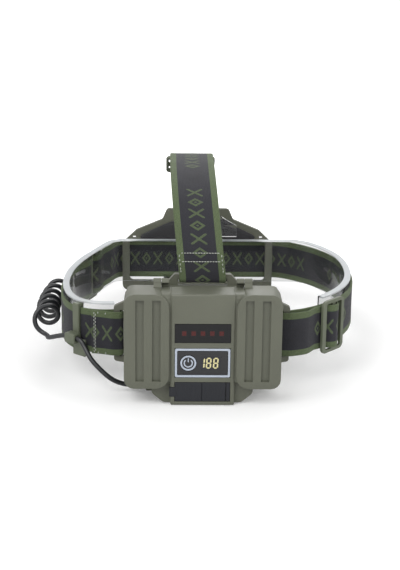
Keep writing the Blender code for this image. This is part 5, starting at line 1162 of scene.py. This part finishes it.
class MESH_OT_caplamp_lamp(bpy.types.Operator):
    """Lamp mount, screws, bolt, finned body, ribbed focus bezel, lens and light source."""

    bl_idname = "mesh.caplamp_lamp"
    bl_label = "Lamp"

    def execute(self, context):
        s = settings("lamp")
        mount = remoulded("mount_moulding", "lamp_mount", 0.0004)
        dress(grained("black_nylon", (0.018, 0.018, 0.020), 0.48, 0.0009, 0.00003, drift=0.08), mount.name)
        body = remoulded("body_turning", "lamp_body", 0.00015, sharp=25)
        anodised, tree, shader = principled("black_anodised_aluminium", s.anodised, 0.34, Metallic=0.85)
        grit = add(tree, "TexNoise", add(tree, "TexCoord", out="Object"), sockets={"Scale": 2600.0, "Detail": 2.0})
        slow = add(tree, "TexNoise", add(tree, "TexCoord", out="Object"), sockets={"Scale": 45.0, "Detail": 4.0})
        tree.links.new(add(tree, "MapRange", slow, 0.3, 0.7, 0.28, 0.46), shader.inputs["Roughness"])
        shade = add(tree, "MapRange", slow, 0.3, 0.7, 0.85, 1.2)
        tinted = add(tree, "Mix", sockets={0: 1.0, 6: rgba(s.anodised), 7: shade}, out=2, data_type="RGBA",
                     blend_type="MULTIPLY")
        tree.links.new(tinted, shader.inputs["Base Color"])
        bump = add(tree, "Bump", sockets={"Height": grit, "Distance": 0.00002, "Strength": 0.7})
        tree.links.new(bump, shader.inputs["Normal"])
        low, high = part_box("focus_bezel")
        start, end, big = low[1], high[1], (high[0] - low[0]) / 2
        inner, lens = 0.0176, 0.0178
        rim = [(start, inner), (start, big - 0.0024), (start + 0.0006, big - 0.0018), (start + 0.0020, big - 0.0016)]
        rim += [(y, big - 0.0016) for y in np.linspace(start + 0.0024, end - 0.0108, 12)]
        rim += [(end - 0.0100, big - 0.0016), (end - 0.0093, big - 0.0010), (end - 0.0085, big), (end - 0.0052, big),
                (end - 0.0049, big - 0.0005), (end - 0.0043, big - 0.0005), (end - 0.0040, big), (end - 0.0008, big),
                (end - 0.0002, big - 0.0003), (end, big - 0.0008), (end, lens + 0.0020), (end - 0.0020, lens + 0.0020),
                (end - 0.0020, lens + 0.0003), (end - 0.0064, lens + 0.0003), (end - 0.0064, inner)]
        band = (start + 0.0022, end - 0.0106)
        bezel = surface("bezel_turning", ribbed_sleeve(rim, band, s.ribs, 0.0007, s.ribs * 8), closed_u=True,
                        closed_v=True)
        bezel.data.set_sharp_from_angle(angle=math.radians(35))
        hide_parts("focus_bezel")
        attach(bezel, "bezel")
        dress(anodised, body.name, bezel.name, "lens_retainer")
        acrylic, tree, shader = principled("clear_lens_acrylic", (0.97, 0.98, 0.98), 0.03, IOR=1.49,
                                           Transmission_Weight=1.0)
        dust = add(tree, "TexNoise", add(tree, "TexCoord", out="Object"), sockets={"Scale": 500.0, "Detail": 4.0})
        tree.links.new(add(tree, "MapRange", dust, 0.35, 0.7, 0.01, 0.07), shader.inputs["Roughness"])
        dress(acrylic, "focus_lens")
        dress(grained("white_solder_mask", (0.62, 0.62, 0.60), 0.45, 0.0008, 0.00001, drift=0.04), "led_board")
        phosphor, tree, shader = principled("phosphor_under_silicone", s.phosphor, 0.30, Coat_Weight=0.6,
                                            Coat_Roughness=0.08)
        fine_tint = add(tree, "TexNoise", add(tree, "TexCoord", out="Object"), sockets={"Scale": 2500.0, "Detail": 2.0})
        tone = add(tree, "MapRange", fine_tint, 0.3, 0.7, 0.88, 1.1)
        tinted = add(tree, "Mix", sockets={0: 1.0, 6: rgba(s.phosphor), 7: tone}, out=2, data_type="RGBA",
                     blend_type="MULTIPLY")
        tree.links.new(tinted, shader.inputs["Base Color"])
        dress(phosphor, "led_emitter")
        dress(grained("nitrile_ring", (0.014, 0.014, 0.015), 0.5, 0.0007, 0.00002), "focus_o_ring")
        dress(grained("moulded_gland_rubber", (0.016, 0.016, 0.017), 0.55, 0.0008, 0.00003),
              remoulded("lamp_gland_moulding", "lamp_gland", 0.0002, body="lamp").name)
        zinc = principled_metal("zinc_plated_steel", (0.52, 0.52, 0.54), 0.30)
        for k in range(1, 5):
            low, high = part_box("mount_screw_%d" % k)
            centre = ((low[0] + high[0]) / 2, (low[2] + high[2]) / 2)
            seat = high[1] - 0.0014
            shank = lathe([(low[1], 0.0012), (seat, 0.0012)], 24, centre=(centre[0], 0, centre[1]))
            head = cross_head(centre, seat, (high[0] - low[0]) / 2, 0.0014, 0.4 * k)
            rows = np.arange(head.shape[0] * head.shape[1]).reshape(head.shape[:2])
            wrapped = np.hstack([rows, rows[:, :1]])
            faces = np.stack([wrapped[:-1, :-1], wrapped[:-1, 1:], wrapped[1:, 1:], wrapped[1:, :-1]], -1)
            faces = faces.reshape(-1, 4).tolist() + [rows[0].tolist(), rows[-1][::-1].tolist()]
            stem = np.arange(48).reshape(2, 24)
            stem = np.hstack([stem, stem[:, :1]])
            stem_faces = np.stack([stem[0, :-1], stem[0, 1:], stem[1, 1:], stem[1, :-1]], -1).tolist()
            stem_faces += [list(range(24))[::-1], list(range(24, 48))]
            screw = merged("screw_head_%d" % k, [(head.reshape(-1, 3), faces), (shank.reshape(-1, 3), stem_faces)],
                           sharp=35)
            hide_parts("mount_screw_%d" % k)
            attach(screw, "head_frame")
            dress(zinc, screw.name)
        dress(zinc, remoulded("tilt_bolt_turning", "tilt_bolt", 0.0003).name)
        return {"FINISHED"}


# ---------------------------------------------------------------- inside the case
def chip(x0, z0, x1, z1, y, depth, pins=0):
    """A moulded chip on a board facing +Y: eased body and pins along its two long sides."""
    body = np.array([(x0, z0), (x1, z0), (x1, z1), (x0, z1)])
    points, faces = raised(body, y, -depth, -min(x1 - x0, z1 - z0) * -0.08)
    parts = [(points, faces)]
    for k in range(pins):
        z = z0 + (z1 - z0) * (k + 0.5) / pins
        for side, x in ((-1, x0), (1, x1)):
            foot = np.array([(x, z - 0.00015), (x + side * 0.0007, z - 0.00015), (x + side * 0.0007, z + 0.00015),
                             (x, z + 0.00015)])
            parts.append(raised(foot, y, -0.00012, 0.00002))
    return parts


class MESH_OT_caplamp_inside(bpy.types.Operator):
    """Cells, springs, strips, boards and sockets inside the case."""

    bl_idname = "mesh.caplamp_inside"
    bl_label = "Inside the case"

    def execute(self, context):
        # shrink wrap with bare nickel ends and a white insulating ring at the positive end
        wrap_film, tree, shader = principled("blue_shrink_wrap", (0.02, 0.13, 0.36), 0.28, Coat_Weight=0.4,
                                             Coat_Roughness=0.12)
        split = add(tree, "SeparateXYZ", add(tree, "TexCoord", out="Object"))
        far = add(tree, "Math", split, operation="ABSOLUTE")
        end = add(tree, "Math", far, 0.0318, operation="GREATER_THAN")
        seam = add(tree, "Math", split, -0.0306, operation="LESS_THAN")
        crease = add(tree, "TexNoise", add(tree, "TexCoord", out="Object"), sockets={"Scale": 260.0, "Detail": 3.0})
        film = add(tree, "Mix", sockets={0: seam, 6: (0.02, 0.13, 0.36, 1), 7: (0.75, 0.76, 0.76, 1)}, out=2,
                   data_type="RGBA")
        tint = add(tree, "Mix", sockets={0: end, 6: film, 7: (0.60, 0.58, 0.52, 1)}, out=2, data_type="RGBA")
        tree.links.new(tint, shader.inputs["Base Color"])
        tree.links.new(end, shader.inputs["Metallic"])
        bump = add(tree, "Bump", sockets={"Height": crease, "Distance": 0.00006, "Strength": 0.5})
        tree.links.new(bump, shader.inputs["Normal"])
        dress(wrap_film, "cell_1", "cell_2", "cell_3")
        dress(principled_metal("spring_wire", (0.58, 0.57, 0.55), 0.25), *["cell_spring_%d" % k for k in (1, 2, 3)])
        dress(principled_metal("nickel_strip", (0.62, 0.60, 0.55), 0.30, along=(1, 1, 0.1)), "contact_strip_left",
              "contact_strip_right")
        shells = principled_metal("socket_shell", (0.66, 0.66, 0.67), 0.24)
        for node in ("usb_a_socket", "usb_c_socket"):
            dress(shells, remoulded(node + "_shell", node, 0.00015).name)
        mask, tree, shader = principled("green_solder_mask", (0.010, 0.10, 0.045), 0.32, Coat_Weight=0.3)
        place = add(tree, "TexCoord", out="Object")
        greens = (0.014, 0.145, 0.065, 1), (0.010, 0.095, 0.040, 1), (0.030, 0.20, 0.09, 1)
        tracks = add(tree, "TexBrick", place, *greens,
                     sockets={"Scale": 180.0, "Mortar Size": 0.035, "Brick Width": 0.9, "Row Height": 0.35})
        turned = add(tree, "Mapping", place, sockets={"Rotation": (math.pi / 2, 0.0, 0.0)})
        tree.links.new(turned, tracks.node.inputs["Vector"])
        tree.links.new(tracks, shader.inputs["Base Color"])
        bump = add(tree, "Bump", sockets={"Height": tracks.node.outputs[1], "Distance": 0.00004, "Strength": 0.5})
        tree.links.new(bump, shader.inputs["Normal"])
        dress(mask, "control_board", "rear_led_board")
        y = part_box("control_board")[1][1]
        chips = chip(-0.0120, -0.0070, -0.0040, 0.0010, y, 0.0012, 7)
        chips += chip(0.0030, -0.0010, 0.0085, 0.0060, y, 0.0011, 5)
        chips += chip(0.0100, -0.0200, 0.0150, -0.0130, y, 0.0012, 4)
        chips += chip(-0.0150, -0.0290, -0.0100, -0.0230, y, 0.001, 4)
        small = []
        rng = np.random.default_rng(11)
        for x, z in np.column_stack([rng.uniform(-0.016, 0.016, 40), rng.uniform(-0.031, 0.009, 40)]):
            if all(not (a[0][:, 0].min() - 0.0016 < x < a[0][:, 0].max() + 0.0016 and
                        a[0][:, 2].min() - 0.0014 < z < a[0][:, 2].max() + 0.0014) for a in chips + small):
                small += chip(x - 0.0005, z - 0.00026, x + 0.0005, z + 0.00026, y, 0.0004)
        for name, parts, tone, gloss in (("board_chips", chips, (0.018, 0.018, 0.019), 0.45),
                                         ("board_resistors", small, (0.20, 0.16, 0.11), 0.4)):
            piece = merged(name, parts, smooth=False)
            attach(piece, "cover")
            dress(grained(name + "_resin", tone, gloss, 0.0005, 0.00001, drift=0.08), piece.name)
        dress(grained("black_moulded_housing", (0.018, 0.018, 0.019), 0.5, 0.0008, 0.00002), "digit_module",
              "button_switch")
        return {"FINISHED"}


# ---------------------------------------------------------------- stage
class SCENE_OT_caplamp_stage(bpy.types.Operator):
    """Pale floor, soft studio lights, white surroundings and the camera."""

    bl_idname = "scene.caplamp_stage"
    bl_label = "Stage"

    def execute(self, context):
        s = settings("stage")
        scene = context.scene
        scene.view_settings.view_transform = "Standard"
        floor_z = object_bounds()[0][2] - 0.0003
        side = np.linspace(-6.0, 6.0, 9)
        grid = np.stack([*np.meshgrid(side, side, indexing="ij"), np.full((9, 9), floor_z)], axis=-1)
        floor = surface("studio_floor", grid, smooth=False)
        mat, tree, shader = principled("matt_pale_floor", (0.86, 0.86, 0.86), 0.9)
        fine = add(tree, "TexNoise", add(tree, "TexCoord", out="Object"), sockets={"Scale": 40.0, "Detail": 2.0})
        tree.links.new(add(tree, "MapRange", fine, 0.3, 0.7, 0.86, 0.94), shader.inputs["Roughness"])
        # the floor brightens to the white of the surroundings away from the lamp
        away = add(tree, "VectorMath", add(tree, "TexCoord", out="Object"), operation="LENGTH", out="Value")
        glow = add(tree, "Math", add(tree, "MapRange", away, 0.08, 0.42, 0.10, 0.9), add(tree, "LightPath"),
                   operation="MULTIPLY")
        shader.inputs["Emission Color"].default_value = (1, 1, 1, 1)
        tree.links.new(glow, shader.inputs["Emission Strength"])
        floor.data.materials.append(mat)
        floor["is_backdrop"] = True
        world = bpy.data.worlds.new("studio_surroundings")
        scene.world = world
        world.use_nodes = True
        tree = world.node_tree
        tree.nodes["Background"].inputs["Strength"].default_value = 0.42
        tree.nodes["Background"].inputs["Color"].default_value = (1, 1, 1, 1)
        ray = add(tree, "LightPath")
        seen = add(tree, "Math", add(tree, "Math", ray, ray.node.outputs["Is Glossy Ray"], operation="MAXIMUM"),
                   ray.node.outputs["Is Transmission Ray"], operation="MAXIMUM")
        white = add(tree, "Background", (1, 1, 1, 1), 1.0)
        both = add(tree, "MixShader", seen, tree.nodes["Background"].outputs[0], white)
        tree.links.new(both, tree.nodes["World Output"].inputs["Surface"])
        for name, place, size, watts in (("key_light", (-0.55, -0.85, 0.95), 0.9, 9.0),
                                         ("fill_light", (0.85, -0.65, 0.55), 0.9, 4.0),
                                         ("back_light", (0.10, 0.95, 0.90), 1.0, 6.0)):
            data = bpy.data.lights.new(name, "AREA")
            data.shape = "DISK"
            data.size, data.energy = size, watts
            light = bpy.data.objects.new(name, data)
            light.location = place
            light.rotation_euler = (Vector((0, 0, 0.02)) - Vector(place)).to_track_quat("-Z", "Y").to_euler()
            scene.collection.objects.link(light)
        a, e = s.azimuth, s.elevation
        back = Vector((math.sin(a) * math.cos(e), -math.cos(a) * math.cos(e), math.sin(e)))
        right = Vector((math.cos(a), math.sin(a), 0.0))
        up = back.cross(right)
        c, r = math.cos(s.roll), math.sin(s.roll)
        right, up = right * c + up * r, up * c - right * r
        data = bpy.data.cameras.new("studio_camera")
        data.sensor_fit, data.sensor_width, data.lens = "HORIZONTAL", 36.0, s.lens
        data.clip_start, data.clip_end = 0.05, 10.0
        camera = bpy.data.objects.new("studio_camera", data)
        camera.matrix_world = Matrix.Translation(Vector((0.00045, 0.0, 0.0054)) + back * s.distance) @ Matrix(
            (right, up, back)).transposed().to_4x4()
        scene.collection.objects.link(camera)
        scene.camera = camera
        return {"FINISHED"}


OPERATORS = (MESH_OT_caplamp_straps, MESH_OT_caplamp_cable, MESH_OT_caplamp_case, MESH_OT_caplamp_display,
             MESH_OT_caplamp_fittings, MESH_OT_caplamp_lamp, MESH_OT_caplamp_inside, SCENE_OT_caplamp_stage)
GROUPS = {"straps": CaplampStraps, "cable": CaplampCable, "case": CaplampCase, "lamp": CaplampLamp,
          "stage": CaplampStage}


class VIEW3D_PT_caplamp(bpy.types.Panel):
    """Buttons and settings of the cap lamp in the sidebar."""

    bl_label = "Cap lamp"
    bl_space_type = "VIEW_3D"
    bl_region_type = "UI"
    bl_category = "Cap lamp"

    def draw(self, context):
        for name, group in GROUPS.items():
            box = self.layout.box()
            box.label(text=name.capitalize())
            for key in group.__annotations__:
                box.prop(settings(name), key)
        for operator in OPERATORS:
            self.layout.operator(operator.bl_idname)


def register():
    for kind in (*GROUPS.values(), *OPERATORS, VIEW3D_PT_caplamp):
        bpy.utils.register_class(kind)
    for name, group in GROUPS.items():
        setattr(bpy.types.Scene, "caplamp_" + name, bpy.props.PointerProperty(type=group))


def unregister():
    for name in GROUPS:
        delattr(bpy.types.Scene, "caplamp_" + name)
    for kind in (VIEW3D_PT_caplamp, *OPERATORS[::-1], *list(GROUPS.values())[::-1]):
        bpy.utils.unregister_class(kind)


def main():
    register()
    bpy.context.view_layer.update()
    bpy.ops.scene.caplamp_stage()
    bpy.ops.mesh.caplamp_cable()
    bpy.ops.mesh.caplamp_straps()
    bpy.ops.mesh.caplamp_case()
    bpy.ops.mesh.caplamp_display()
    bpy.ops.mesh.caplamp_fittings()
    bpy.ops.mesh.caplamp_lamp()
    bpy.ops.mesh.caplamp_inside()


if __name__ == "__main__":
    main()
